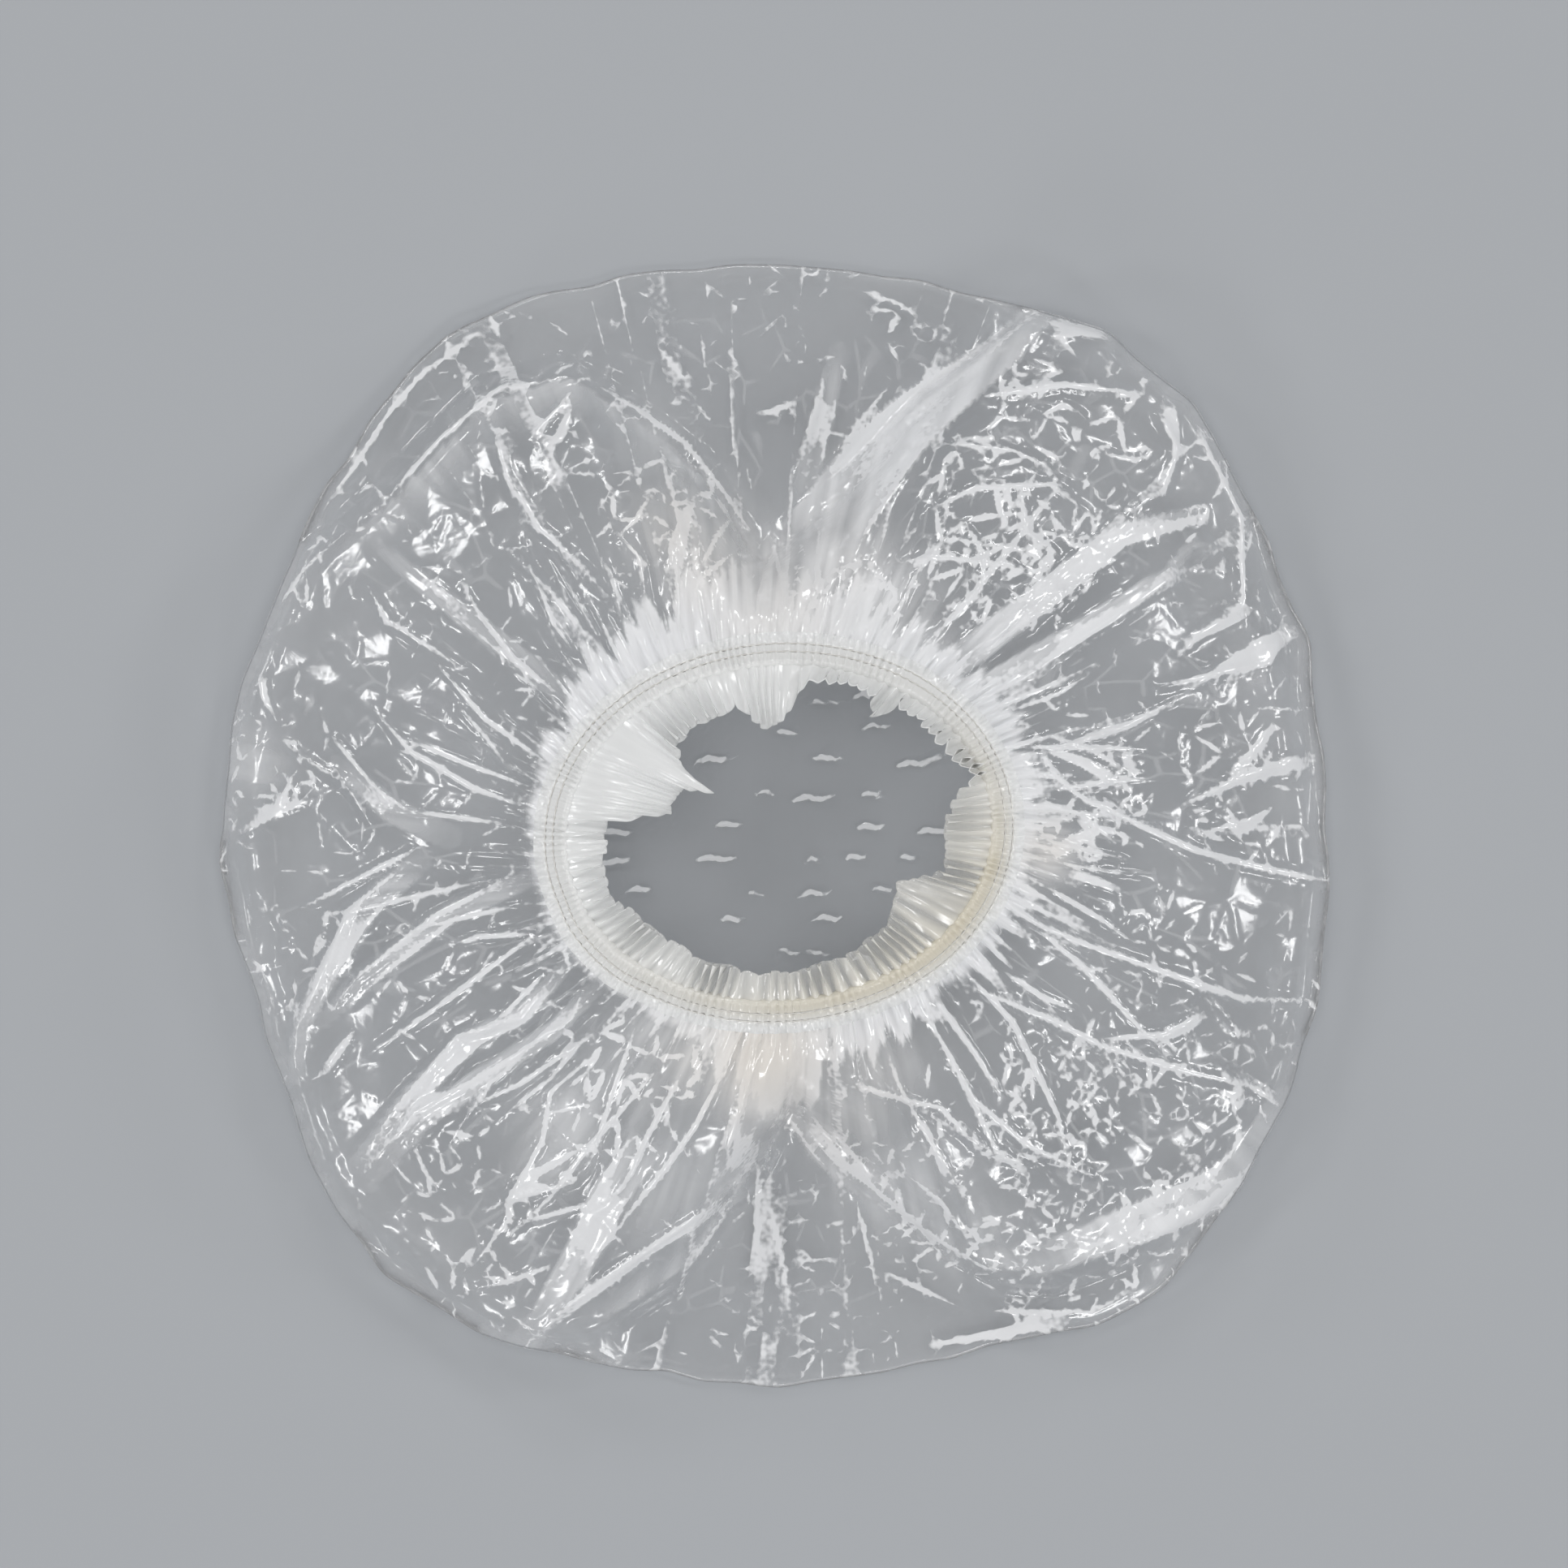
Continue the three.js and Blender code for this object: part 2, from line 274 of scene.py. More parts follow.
# Creases: ridge height and half width in mm, whiteness of the crest (stress whitening and painted highlight),
# then the route in pixels
creases = [
    # upper left
    (2.0, 3.0, 0.6, [(467, 621), (540, 540), (612, 477), (712, 462)]),
    (1.6, 2.4, 0.3, [(445, 708), (481, 766), (612, 848)]),
    (1.8, 2.4, 0.45, [(603, 513), (626, 590), (667, 653), (716, 698), (793, 784)]),
    (1.8, 2.6, 0.35, [(621, 671), (685, 735), (730, 789), (748, 857)]),
    (1.4, 2.0, 0.3, [(404, 898), (450, 950), (504, 1006)]),
    (1.4, 2.2, 0.35, [(567, 866), (610, 915), (649, 970)]),
    (0.7, 1.6, 0.35, [(870, 332), (872, 372)]),
    (0.7, 1.6, 0.25, [(857, 386), (870, 450), (880, 508)]),
    (0.8, 1.6, 0.3, [(898, 431), (902, 535), (920, 626)]),
    (0.7, 1.6, 0.25, [(798, 404), (835, 452), (866, 490)]),
    (1.4, 2.0, 0.4, [(762, 660), (790, 690), (800, 753)]),
    (1.2, 1.8, 0.4, [(812, 554), (835, 630), (850, 700)]),
    (1.0, 1.6, 0.45, [(650, 545), (690, 500), (712, 470)]),
    (1.2, 1.8, 0.35, [(330, 760), (372, 700), (440, 640)]),
    (1.0, 1.6, 0.4, [(300, 1000), (345, 990), (372, 940)]),
    (1.3, 2.2, 0.25, [(330, 905), (430, 965), (480, 1040)]),
    (0.4, 2.4, 0.5, [(715, 460), (780, 497), (842, 540), (890, 600), (927, 655), (945, 695)]),
    (1.2, 1.8, 0.45, [(904, 630), (880, 670), (858, 717)]),
    (1.2, 1.8, 0.45, [(808, 604), (785, 645), (752, 676)]),
    (1.0, 1.6, 0.5, [(856, 724), (885, 700), (912, 676)]),
    (0.8, 1.4, 0.55, [(390, 628), (426, 576), (475, 498), (511, 456), (586, 399), (650, 372)]),
    # upper right
    (2.0, 3.0, 0.7, [(1212, 490), (1310, 476), (1416, 486)]),
    (1.2, 2.0, 0.3, [(1026, 431), (1000, 510), (981, 590)]),
    (1.2, 2.0, 0.3, [(1108, 454), (1060, 515), (1017, 576)]),
    (1.6, 2.2, 0.6, [(1465, 499), (1533, 635), (1533, 744), (1474, 780), (1443, 789)]),
    (1.6, 2.2, 0.55, [(1420, 495), (1452, 554), (1434, 603), (1370, 649)]),
    (1.6, 2.2, 0.6, [(1597, 771), (1565, 816), (1397, 853)]),
    (1.6, 2.2, 0.6, [(1624, 925), (1530, 955), (1447, 993)]),
    (1.0, 1.8, 0.35, [(1624, 875), (1520, 871)]),
    (1.4, 1.8, 0.55, [(1130, 640), (1200, 605), (1290, 600), (1350, 640)]),
    (1.2, 1.6, 0.5, [(1160, 550), (1250, 560), (1330, 600)]),
    (1.2, 1.6, 0.55, [(1180, 640), (1210, 690), (1200, 760)]),
    (1.2, 1.6, 0.55, [(1255, 610), (1262, 660), (1305, 690)]),
    (1.2, 1.6, 0.55, [(1090, 700), (1150, 690), (1240, 700), (1290, 730)]),
    (1.3, 1.6, 0.6, [(1280, 515), (1310, 500), (1340, 520)]),
    (1.2, 1.6, 0.5, [(1350, 560), (1400, 570), (1435, 545)]),
    (1.0, 1.6, 0.4, [(1275, 390), (1330, 400), (1380, 420)]),
    (0.8, 1.6, 0.4, [(1050, 345), (1110, 365), (1160, 400)]),
    # lower left
    (1.6, 2.0, 0.55, [(525, 1042), (440, 1085), (360, 1125)]),
    (1.8, 2.2, 0.45, [(525, 1051), (434, 1120), (406, 1184), (365, 1267), (360, 1350)]),
    (1.8, 2.2, 0.45, [(649, 1070), (544, 1125), (443, 1203), (388, 1272)]),
    (1.8, 2.2, 0.5, [(677, 1139), (535, 1244), (443, 1308)]),
    (1.8, 2.2, 0.5, [(700, 1184), (645, 1249), (571, 1272), (493, 1359), (424, 1460)]),
    (1.8, 2.2, 0.55, [(732, 1194), (709, 1249), (626, 1304), (516, 1368), (466, 1423), (424, 1487)]),
    (1.6, 2.0, 0.5, [(737, 1267), (645, 1331), (548, 1373)]),
    (1.6, 2.0, 0.6, [(746, 1285), (682, 1341), (672, 1400), (631, 1474), (709, 1451), (746, 1386)]),
    (1.4, 1.8, 0.6, [(893, 1474), (810, 1529), (700, 1607), (649, 1657)]),
    (0.9, 1.6, 0.35, [(902, 1487), (870, 1535), (838, 1584)]),
    (0.9, 1.6, 0.4, [(934, 1414), (932, 1520), (934, 1625)]),
    (1.2, 1.6, 0.5, [(631, 1497), (605, 1530), (581, 1561)]),
    (1.2, 1.6, 0.4, [(691, 1552), (625, 1580), (562, 1598)]),
    (1.4, 1.6, 0.6, [(727, 1478), (690, 1490), (645, 1501)]),
    (1.6, 2.0, 0.6, [(400, 1320), (420, 1290), (440, 1268)]),
    (1.2, 1.6, 0.4, [(510, 1400), (525, 1440), (550, 1470)]),
    # lower right
    (1.8, 2.2, 0.6, [(1238, 1120), (1330, 1160), (1427, 1194), (1532, 1230), (1615, 1235), (1680, 1240)]),
    (1.8, 2.2, 0.6, [
        (1179, 1207), (1284, 1249), (1353, 1285), (1459, 1318), (1532, 1336), (1587, 1368), (1640, 1400),
    ]),
    (1.6, 1.8, 0.65, [(1353, 1276), (1427, 1272), (1477, 1249)]),
    (1.6, 2.0, 0.7, [(1329, 979), (1395, 1015), (1468, 1047), (1550, 1068), (1629, 1083), (1690, 1094)]),
    (1.6, 2.0, 0.55, [(1156, 1295), (1197, 1350), (1261, 1405), (1385, 1469)]),
    (1.6, 2.0, 0.55, [(1036, 1331), (1156, 1359), (1225, 1432)]),
    (1.0, 1.6, 0.45, [(1202, 1625), (1353, 1625), (1440, 1579)]),
    (0.9, 1.6, 0.4, [(1078, 1570), (1147, 1602), (1197, 1625)]),
    (0.4, 2.4, 0.5, [(1000, 1400), (1050, 1446), (1137, 1520), (1215, 1566), (1280, 1570)]),
    (0.9, 1.6, 0.4, [(945, 1474), (968, 1584), (977, 1676)]),
    (0.9, 1.6, 0.4, [(1050, 1460), (1082, 1593), (1101, 1653)]),
    (0.6, 1.6, 0.1, [(950, 1478), (990, 1474), (1040, 1482)]),
    (0.6, 1.6, 0.14, [(955, 1518), (1000, 1512), (1048, 1522)]),
    (0.6, 1.6, 0.1, [(960, 1556), (1005, 1562), (1060, 1555)]),
    (0.6, 1.6, 0.14, [(965, 1604), (1020, 1598), (1075, 1610)]),
    (1.3, 1.8, 0.5, [(1275, 940), (1330, 985), (1395, 1015)]),
    (1.3, 1.8, 0.5, [(1270, 985), (1330, 1005), (1370, 1040)]),
    (1.3, 1.8, 0.45, [(1280, 905), (1340, 925), (1400, 960)]),
    (1.2, 1.6, 0.5, [(1465, 1030), (1520, 1015), (1560, 1000)]),
    (1.2, 1.6, 0.5, [(1110, 1440), (1160, 1480), (1200, 1540)]),
]

# Doubled folds, bundles of parallel creases: height, half widths at both ends in mm, whiteness (milk of the
# doubled film, and painted highlight on its creases), route
strip = {
    "rise": 0.7,  # of the fold's height, the whole bundle
    "halfWidth": 2.6,  # mm that it slopes off over
    "milk": 0.75,
    "milkEdge": (0.55, 0.95),
    "pitch": 2,  # mm of half width for each crease more
    "side": 0.95,  # how near the bundle's sides the outer creases lie
    "wander": 0.1,
    "from": (0, 0.3),  # shares of the route that a crease runs between
    "to": (0.6, 1),
    "height": (-0.3, 0.5),
    "lineWidth": 1.0,
    "linePoints": 6,
    "white": (0.3, 1.1),
}
strips = [
    (1.2, (1.2, 2.4), 0.4, [(445, 658), (530, 725), (621, 794), (725, 880)]),
    (1.8, (10, 2.4), 0.95, [(990, 690), (1060, 590), (1121, 517), (1234, 431), (1275, 390), (1320, 345)]),
    (1.6, (3.4, 1.6), 0.9, [(1165, 826), (1302, 721), (1375, 662), (1495, 629)]),
    (1.6, (2.4, 1.0), 0.85, [(1190, 860), (1339, 771), (1438, 708), (1470, 667)]),
    (1.2, (4.2, 3.0), 0.7, [(810, 1386), (755, 1465), (709, 1561), (649, 1653)]),
    (1.0, (2.4, 1.6), 0.55, [(525, 1060), (455, 1120), (410, 1190), (372, 1262), (362, 1330)]),
    (1.0, (1.8, 1.4), 0.55, [(655, 1082), (558, 1126), (483, 1183), (392, 1263)]),
    (1.0, (1.4, 2.2), 0.6, [(700, 1188), (648, 1246), (587, 1275), (507, 1353), (430, 1450)]),
    (1.0, (1.6, 2.0), 0.6, [(735, 1215), (690, 1262), (615, 1312), (530, 1372), (450, 1460)]),
    (1.6, (3.6, 5.4), 0.85, [(1280, 1556), (1381, 1515), (1505, 1469), (1551, 1423), (1590, 1370)]),
    (1.4, (4.0, 2.0), 0.5, [(935, 1350), (915, 1430), (870, 1490)]),
    (1.4, (5.0, 2.6), 0.6, [(975, 1345), (1020, 1420), (1110, 1510)]),
    (1.0, (2.0, 2.8), 0.4, [(1035, 425), (1005, 540), (980, 640)]),
    (1.2, (1.6, 2.8), 0.4, [(420, 940), (490, 1000), (560, 1030)]),
]

# Painted highlights, white wedges where a fold opens towards the light: half widths at both ends in mm,
# whiteness, route
wedge = {"height": 0.8, "halfWidth": 1.6}
wedges = [
    (1.6, 0.1, 0.6, [(1440, 492), (1447, 525), (1452, 565)]),
    (2.0, 0.0, 0.6, [(1597, 778), (1540, 805), (1455, 852)]),
    (0.7, 0.2, 0.7, [(1625, 936), (1530, 960), (1451, 992)]),
    (0.1, 0.9, 0.6, [(1567, 996), (1535, 1018), (1509, 1027)]),
    (0.2, 1.1, 0.6, [(1281, 923), (1330, 940), (1379, 969)]),
    (1.1, 0.2, 0.6, [(1286, 1053), (1320, 1035), (1351, 1016)]),
    (0.8, 0.1, 0.5, [(1304, 1072), (1350, 1085), (1388, 1100)]),
    (0.5, 0.1, 0.6, [(1571, 893), (1540, 930), (1505, 956)]),
    (0.5, 0.2, 0.6, [(1540, 755), (1478, 782), (1442, 813)]),
    (1.0, 0.0, 0.6, [(1477, 1250), (1440, 1272), (1410, 1277)]),
    (0.0, 1.1, 0.6, [(705, 500), (690, 540), (668, 552)]),
    (0.3, 1.9, 0.6, [(856, 612), (840, 660), (830, 722)]),
    (0.0, 0.8, 0.6, [(440, 1268), (415, 1300), (398, 1322)]),
    (0.7, 0.0, 0.6, [(630, 1480), (665, 1440), (735, 1400)]),
    (0.0, 0.9, 0.6, [(905, 1480), (800, 1540), (655, 1650)]),
    (1.0, 0.0, 0.5, [(1375, 412), (1330, 405), (1285, 420)]),
    (0.0, 0.3, 0.4, [(985, 487), (955, 498), (925, 508)]),
    (0.6, 0.0, 0.5, [(318, 830), (325, 860), (342, 892)]),
    (0.0, 0.9, 0.5, [(390, 985), (340, 1000), (285, 1030)]),
    (0.9, 0.1, 0.6, [(1545, 1440), (1480, 1500), (1380, 1545)]),
    (0.2, 0.8, 0.6, [(1150, 1668), (1240, 1652), (1335, 1630)]),
]

# Facets: the crumpled film as a net of triangles, finer in patches. Spacing, height and patch radius in mm
facets = {
    "reach": 0.36,  # of the flat film's width
    "spacing": 7.5,
    "scatter": 3.0,
    "height": 0.7,
    "white": 0.16,
    "shade": (0.3, 1.6),
    "share": 0.24,  # of the net's edges that are creased
    "halfWidth": 1.2,
    "ridge": 0.25,
    "sameCorner": 1e-6,
    "grown": (4, 18),  # mm from the hem, where they start and where they are full
}

# The patches: middle and radius in pixels, how many more corners, whiteness (painted highlight and stress
# whitening) and share of their creases
crumples = [
    ((1240, 660), 125, 60, 0.4, 0.7),
    ((1040, 755), 65, 36, 0.45, 0.75),
    ((1330, 520), 110, 26, 0.4, 0.34),
    ((1335, 990), 75, 40, 0.45, 0.5),
    ((1540, 960), 90, 18, 0.36, 0.34),
    ((1400, 1420), 150, 100, 0.32, 0.46),
    ((1310, 1330), 90, 48, 0.32, 0.46),
    ((1430, 1170), 80, 28, 0.28, 0.34),
    ((1180, 1470), 100, 60, 0.36, 0.5),
    ((1350, 1580), 110, 48, 0.38, 0.46),
    ((1010, 1600), 120, 36, 0.16, 0.36),
    ((780, 1340), 90, 30, 0.46, 0.42),
    ((600, 1500), 120, 30, 0.34, 0.34),
    ((350, 1180), 80, 30, 0.3, 0.34),
    ((330, 930), 70, 24, 0.34, 0.34),
    ((420, 620), 90, 24, 0.28, 0.28),
    ((650, 460), 110, 24, 0.26, 0.28),
    ((820, 640), 80, 24, 0.36, 0.4),
    ((870, 400), 120, 20, 0.14, 0.26),
    ((1180, 380), 100, 24, 0.26, 0.34),
    ((1500, 620), 90, 22, 0.36, 0.34),
    ((1590, 1250), 90, 20, 0.26, 0.3),
]

# Folds that run out from the hem: how many, reach, half width and height in mm, whiteness of their crests
# (stress whitening and painted highlight)
gathers = [
    {"count": 122, "reach": (5, 16), "halfWidth": (0.7, 1.1), "height": (1.4, 2.0), "white": (0.4, 0.95)},
    {"count": 76, "reach": (14, 48), "halfWidth": (1.0, 1.9), "height": (0.8, 1.9), "white": (0.1, 0.75)},
    {"count": 26, "reach": (35, 78), "halfWidth": (2.2, 4.6), "height": (1.2, 3.0), "white": (0.0, 0.35)},
]
# What those folds share
pleat = {
    "scatter": 0.35,  # of the pitch
    "lean": 0.4,  # one flank steeper than the other
    "drift": 0.12,  # sideways, for each mm outwards
    "widen": 1.2,
    "root": (0.85, 0.15, 5),  # height at the hem, what it gains, and the mm that it takes
}
# Long thin creases that wander out from the hem: how many, legs and their length in mm, turn at each leg
runners = {
    "count": 44,
    "aim": 0.15,  # radians off the straight way out
    "start": (1, 14),
    "legs": (2, 4),
    "leg": (8, 20),
    "turn": 0.16,
    "height": (0.7, 1.6),
    "halfWidth": (0.9, 1.7),
    "white": (0.1, 0.7),
}
# How white the folds from the hem are, by degrees round the mouth
gatherWhite = [(0, 0.8), (50, 1), (120, 1), (150, 0.4), (190, 0.2), (230, 0.4), (260, 1), (300, 0.8)]
rimHaze = {"white": 0.34, "width": 7, "flange": 20}  # along the lobes' edges over the flat valleys, in mm
# Milky bunches of gathers: middle in pixels, radius in mm, whiteness, how cream
bunches = [
    ((950, 745), 17, 0.95, 0.25), ((942, 1300), 15, 0.9, 0.7), ((930, 1240), 12, 0.6, 0.7),
    ((1030, 690), 14, 0.75, 0.15), ((1080, 740), 13, 0.7, 0.05), ((1110, 800), 10, 0.75, 0),
    ((1060, 590), 12, 0.35, 0), ((880, 690), 15, 0.5, 0.3), ((800, 545), 12, 0.26, 0),
    ((860, 630), 13, 0.34, 0.1), ((827, 655), 13, 0.4, 0.3), ((780, 1340), 16, 0.3, 0),
    ((1040, 1370), 14, 0.45, 0.2), ((840, 1450), 18, 0.34, 0), ((1110, 1470), 18, 0.42, 0),
    ((1180, 1520), 12, 0.35, 0), ((1070, 1320), 12, 0.4, 0.2), ((860, 1300), 12, 0.5, 0.3),
    ((820, 1265), 11, 0.45, 0.1), ((705, 1380), 12, 0.5, 0), ((677, 1429), 8, 0.4, 0),
    ((945, 1345), 9, 0.85, 0.4), ((310, 940), 9, 0.34, 0), ((965, 690), 9, 0.7, 0.1),
    ((1285, 1050), 7, 0.7, 0.4),
]
# How far the milky gathers reach from the hem in mm, by degrees round the mouth
hemMist = [
    (0, 3.5), (45, 7), (75, 13), (95, 18), (115, 12), (140, 7), (158, 2.5), (185, 1.2), (230, 1.2), (248, 4),
    (262, 14), (275, 15), (290, 8), (310, 3), (335, 2),
]
# The milk of the gathers, ragged and streaked, and the painted edge highlight along the outline
milk = {
    "spikes": ((0.8, 1), (2.2, 5)),  # size of the ragged edge, and the columns it is averaged over
    "spikeShare": 0.6,
    "edge": (-1, 2.5),  # mm that it fades over
    # outline: a painted edge highlight on the last film
    "outline": 0.4,  # whiteness of the last film at the outline
    "outlineWidth": 1.0,
    "streaks": 5,  # rings of streaks round the hem
    "streakLength": 14,
    "streakShare": 0.6,
    "cloud": 0.05,  # haze of the flat film in patches, and their mm
    "cloudPitch": 22,
    "fold": 0.05,  # haze of the film under the outline
}
broken = {"share": 0.08, "pitch": 7}  # how much the crests come and go, over how many mm
# The finest creases, a net drawn on a ring and squeezed outwards, their white lines partly stress whitening
# and partly painted highlight
web = {
    "ring": 70,  # mm
    "squeeze": (0.2, 0.2),  # at the hem, and what is added towards the outline
    "least": 0.04,
    "patches": ((0.7, 6), (0.3, 30)),  # strength of the patches, and their mm
    "crumpled": 0.5,
    "most": 0.2,
    "thinned": (0.6, 0.7, 0.95),  # what they lose, between these shares of the way to the outline
}
# Slow swells of the upper film, and where its folds go quiet
swells = {
    "waves": ((1.1, 7, 0.09, 0), (0.8, 13, -0.14, 1)),  # mm, waves round, turn for each mm outwards, start
    "grown": (6, 30),  # mm from the hem
    "flange": 0.8,  # how much of them the flat flange loses
}
quiet = {
    "outline": (0.65, 0.93, 1),  # what folds lose, between these shares of the way to the outline
    "flange": (0.45, 2, 8),  # what they lose, between these mm past the shoulder
}
# Small ripples of the crown, in rows under the mouth, in mm; their white dashes are painted highlights
ripples = {
    "rows": 9,
    "columns": 7,
    "first": (-36, -32),
    "pitch": (12, 8),
    "scatter": (4, 1.5),
    "leftOut": 0.45,
    "reach": (3.0, 5.5),
    "rise": (0.05, 0.25),
    "bend": (0.5, -0.2),
    "height": 0.5,
    "halfWidth": 1.2,
    "white": (0.35, 0.7),
}
crownWave = {"height": 0.25, "across": 0.11, "up": 0.05, "grown": 20}


def loopRadius(spots, angles):  # distance from the middle to a closed outline, along each angle
    spots = fromPhoto(spots)
    order = np.argsort(np.mod(np.arctan2(spots[:, 1], spots[:, 0]), turn))
    spots = spots[order]
    places = np.mod(np.arctan2(spots[:, 1], spots[:, 0]), turn)
    after = np.searchsorted(places, angles) % len(spots)
    start, end = spots[after - 1], spots[after]
    run = end - start
    cross = start[:, 0] * run[:, 1] - start[:, 1] * run[:, 0]
    return cross / (np.cos(angles) * run[:, 1] - np.sin(angles) * run[:, 0])


def alongRoute(x, y, route):  # distance from every point to a bent line, and its share of the way along it
    runs = np.diff(route, axis=0)
    lengths = np.hypot(runs[:, 0], runs[:, 1])
    starts = np.concatenate([[0], np.cumsum(lengths)])
    best = np.full(x.shape, np.inf)
    share = np.zeros(x.shape)
    for spot, run, length, start in zip(route, runs, lengths, starts):
        along = np.clip(((x - spot[0]) * run[0] + (y - spot[1]) * run[1]) / length**2, 0, 1)
        away = np.hypot(x - spot[0] - along * run[0], y - spot[1] - along * run[1])
        nearer = away < best
        best = np.where(nearer, away, best)
        share = np.where(nearer, (start + along * length) / starts[-1], share)
    return best, share


def nearTo(x, y, route, margin):
    low, high = route.min(axis=0) - margin, route.max(axis=0) + margin
    return np.nonzero((x > low[0]) & (x < high[0]) & (y > low[1]) & (y < high[1]))


# A crest's white is partly the film's stress whitening and partly a painted highlight along the ridge
def crestMark(whiteness, taper, away):  # white where this is over a half, so a strong crest is a wide one
    faded = np.maximum(away - film["crestCore"], 0) / film["crestReach"]
    return 0.5 + 0.5 * whiteness - film["crestTaper"] * (1 - taper) - faded


def addCrease(x, y, height, crest, route, ridge, halfWidth, whiteness, flat=(0, 0)):
    near = nearTo(x, y, route, halfWidth + max(flat) + film["crestReach"])
    away, share = alongRoute(x[near], y[near], route)
    away = np.maximum(away - flat[0] - (flat[1] - flat[0]) * share, 0)
    rise, fall = film["creaseEnds"]
    taper = smooth(share, 0, rise) * smooth(1 - share, 0, fall)
    height[near] += ridge * taper * np.clip(1 - (away / halfWidth) ** 2, 0, 1) ** 2
    begin, rise, fall = film["crestEnds"]
    point = smooth(share, begin, rise) * smooth(1 - share, begin, fall)
    crest[near] = np.maximum(crest[near], crestMark(whiteness, point, away))


def closed(mark):  # gaps one point wide between two crests are filled
    for pick in (np.maximum, np.minimum):
        mark = pick.reduce([mark] + [np.roll(mark, step, axis) for axis in (0, 1) for step in (1, -1)])
    return mark


def beside(route, flat, across, low, high):  # a stretch of a route, set over to one side of it
    lengths = np.hypot(*np.diff(route, axis=0).T)
    share = np.concatenate([[0], np.cumsum(lengths)]) / lengths.sum()
    along = np.gradient(route, axis=0)
    square = np.stack([-along[:, 1], along[:, 0]], axis=-1) / np.linalg.norm(along, axis=1)[:, None]
    moved = route + square * (across * (flat[0] + (flat[1] - flat[0]) * share))[:, None]
    stretch = np.linspace(low, high, strip["linePoints"])
    return np.stack([np.interp(stretch, share, moved[:, side]) for side in (0, 1)], axis=-1)


def patchy(x, y, pitch, dice):  # a smooth random value from -1 to 1 over the plan
    size = int(2 * film["flatDiameter"] / pitch) + 2
    lattice = dice.uniform(-1, 1, (size, size))
    across, up = x / pitch + size / 2, y / pitch + size / 2
    column, row = np.floor(across).astype(int), np.floor(up).astype(int)
    right, top = smooth(across - column, 0, 1), smooth(up - row, 0, 1)
    low = lattice[row, column] * (1 - right) + lattice[row, column + 1] * right
    high = lattice[row + 1, column] * (1 - right) + lattice[row + 1, column + 1] * right
    return low * (1 - top) + high * top


def addFacets(x, y, height, crest, dice):
    reach = film["flatDiameter"] * facets["reach"]
    steps = np.arange(-reach, reach, facets["spacing"])
    corners = np.stack(np.meshgrid(steps, steps), axis=-1).reshape(-1, 2)
    corners += dice.uniform(-facets["scatter"], facets["scatter"], corners.shape)
    patches = [(fromPhoto([spot])[0], radius * photo["pixel"], *rest) for spot, radius, *rest in crumples]
    for middle, radius, count, *_ in patches:
        corners = np.concatenate([corners, middle + radius * dice.uniform(-1, 1, (count, 2))])
    levels = dice.uniform(-1, 1, len(corners)) * facets["height"]
    net = delaunay_2d_cdt([Vector(corner) for corner in corners], [], [], 0, facets["sameCorner"])
    spots = np.array([spot[:] for spot in net[0]])
    levels = levels[[first[0] for first in net[3]]]
    for triangle in net[2]:
        a, b, c = spots[triangle]
        near = nearTo(x, y, spots[triangle], 0)
        size = (b[0] - a[0]) * (c[1] - a[1]) - (c[0] - a[0]) * (b[1] - a[1])
        toB = ((x[near] - a[0]) * (c[1] - a[1]) - (c[0] - a[0]) * (y[near] - a[1])) / size
        toC = ((b[0] - a[0]) * (y[near] - a[1]) - (x[near] - a[0]) * (b[1] - a[1])) / size
        inside = (toB >= 0) & (toC >= 0) & (toB + toC <= 1)
        within = (near[0][inside], near[1][inside])
        lift = levels[triangle] @ np.stack([1 - toB - toC, toB, toC])
        height[within] += lift[inside]
    for first, second in net[1]:
        route = spots[[first, second]]
        white, share = facets["white"], facets["share"]
        for middle, radius, _, patchWhite, patchShare in patches:
            if np.hypot(*(route.mean(axis=0) - middle)) < radius:
                white, share = patchWhite, patchShare
        luck, shade = dice.random(), dice.uniform(*facets["shade"])
        if luck < share:
            addCrease(x, y, height, crest, route, facets["ridge"], facets["halfWidth"], white * shade)


def addGathers(angle, arc, fromMouth, height, crest, dice):
    rootHeight, rootGain, root = pleat["root"]
    for family in gathers:
        spread = turn / family["count"]
        for index in range(family["count"]):
            place = (index + dice.uniform(-pleat["scatter"], pleat["scatter"])) * spread
            reach = dice.uniform(*family["reach"])
            halfWidth = dice.uniform(*family["halfWidth"])
            ridge = dice.uniform(*family["height"])
            whiteness = dice.uniform(*family["white"]) * around(place, gatherWhite)
            lean = dice.uniform(-pleat["lean"], pleat["lean"])
            drift = dice.uniform(-pleat["drift"], pleat["drift"])
            share = np.clip(fromMouth / reach, 0, 1)
            away = shortTurn(angle, place) * arc + drift * fromMouth
            widen = halfWidth * (1 + pleat["widen"] * share)
            side = np.where(away > 0, widen * (1 + lean), widen * (1 - lean))
            fade = (1 - share) * (rootHeight + rootGain * smooth(fromMouth, 0, root))
            height += ridge * fade * np.clip(1 - np.abs(away) / side, 0, 1)
            np.maximum(crest, crestMark(whiteness, 1 - share, np.abs(away)), out=crest)


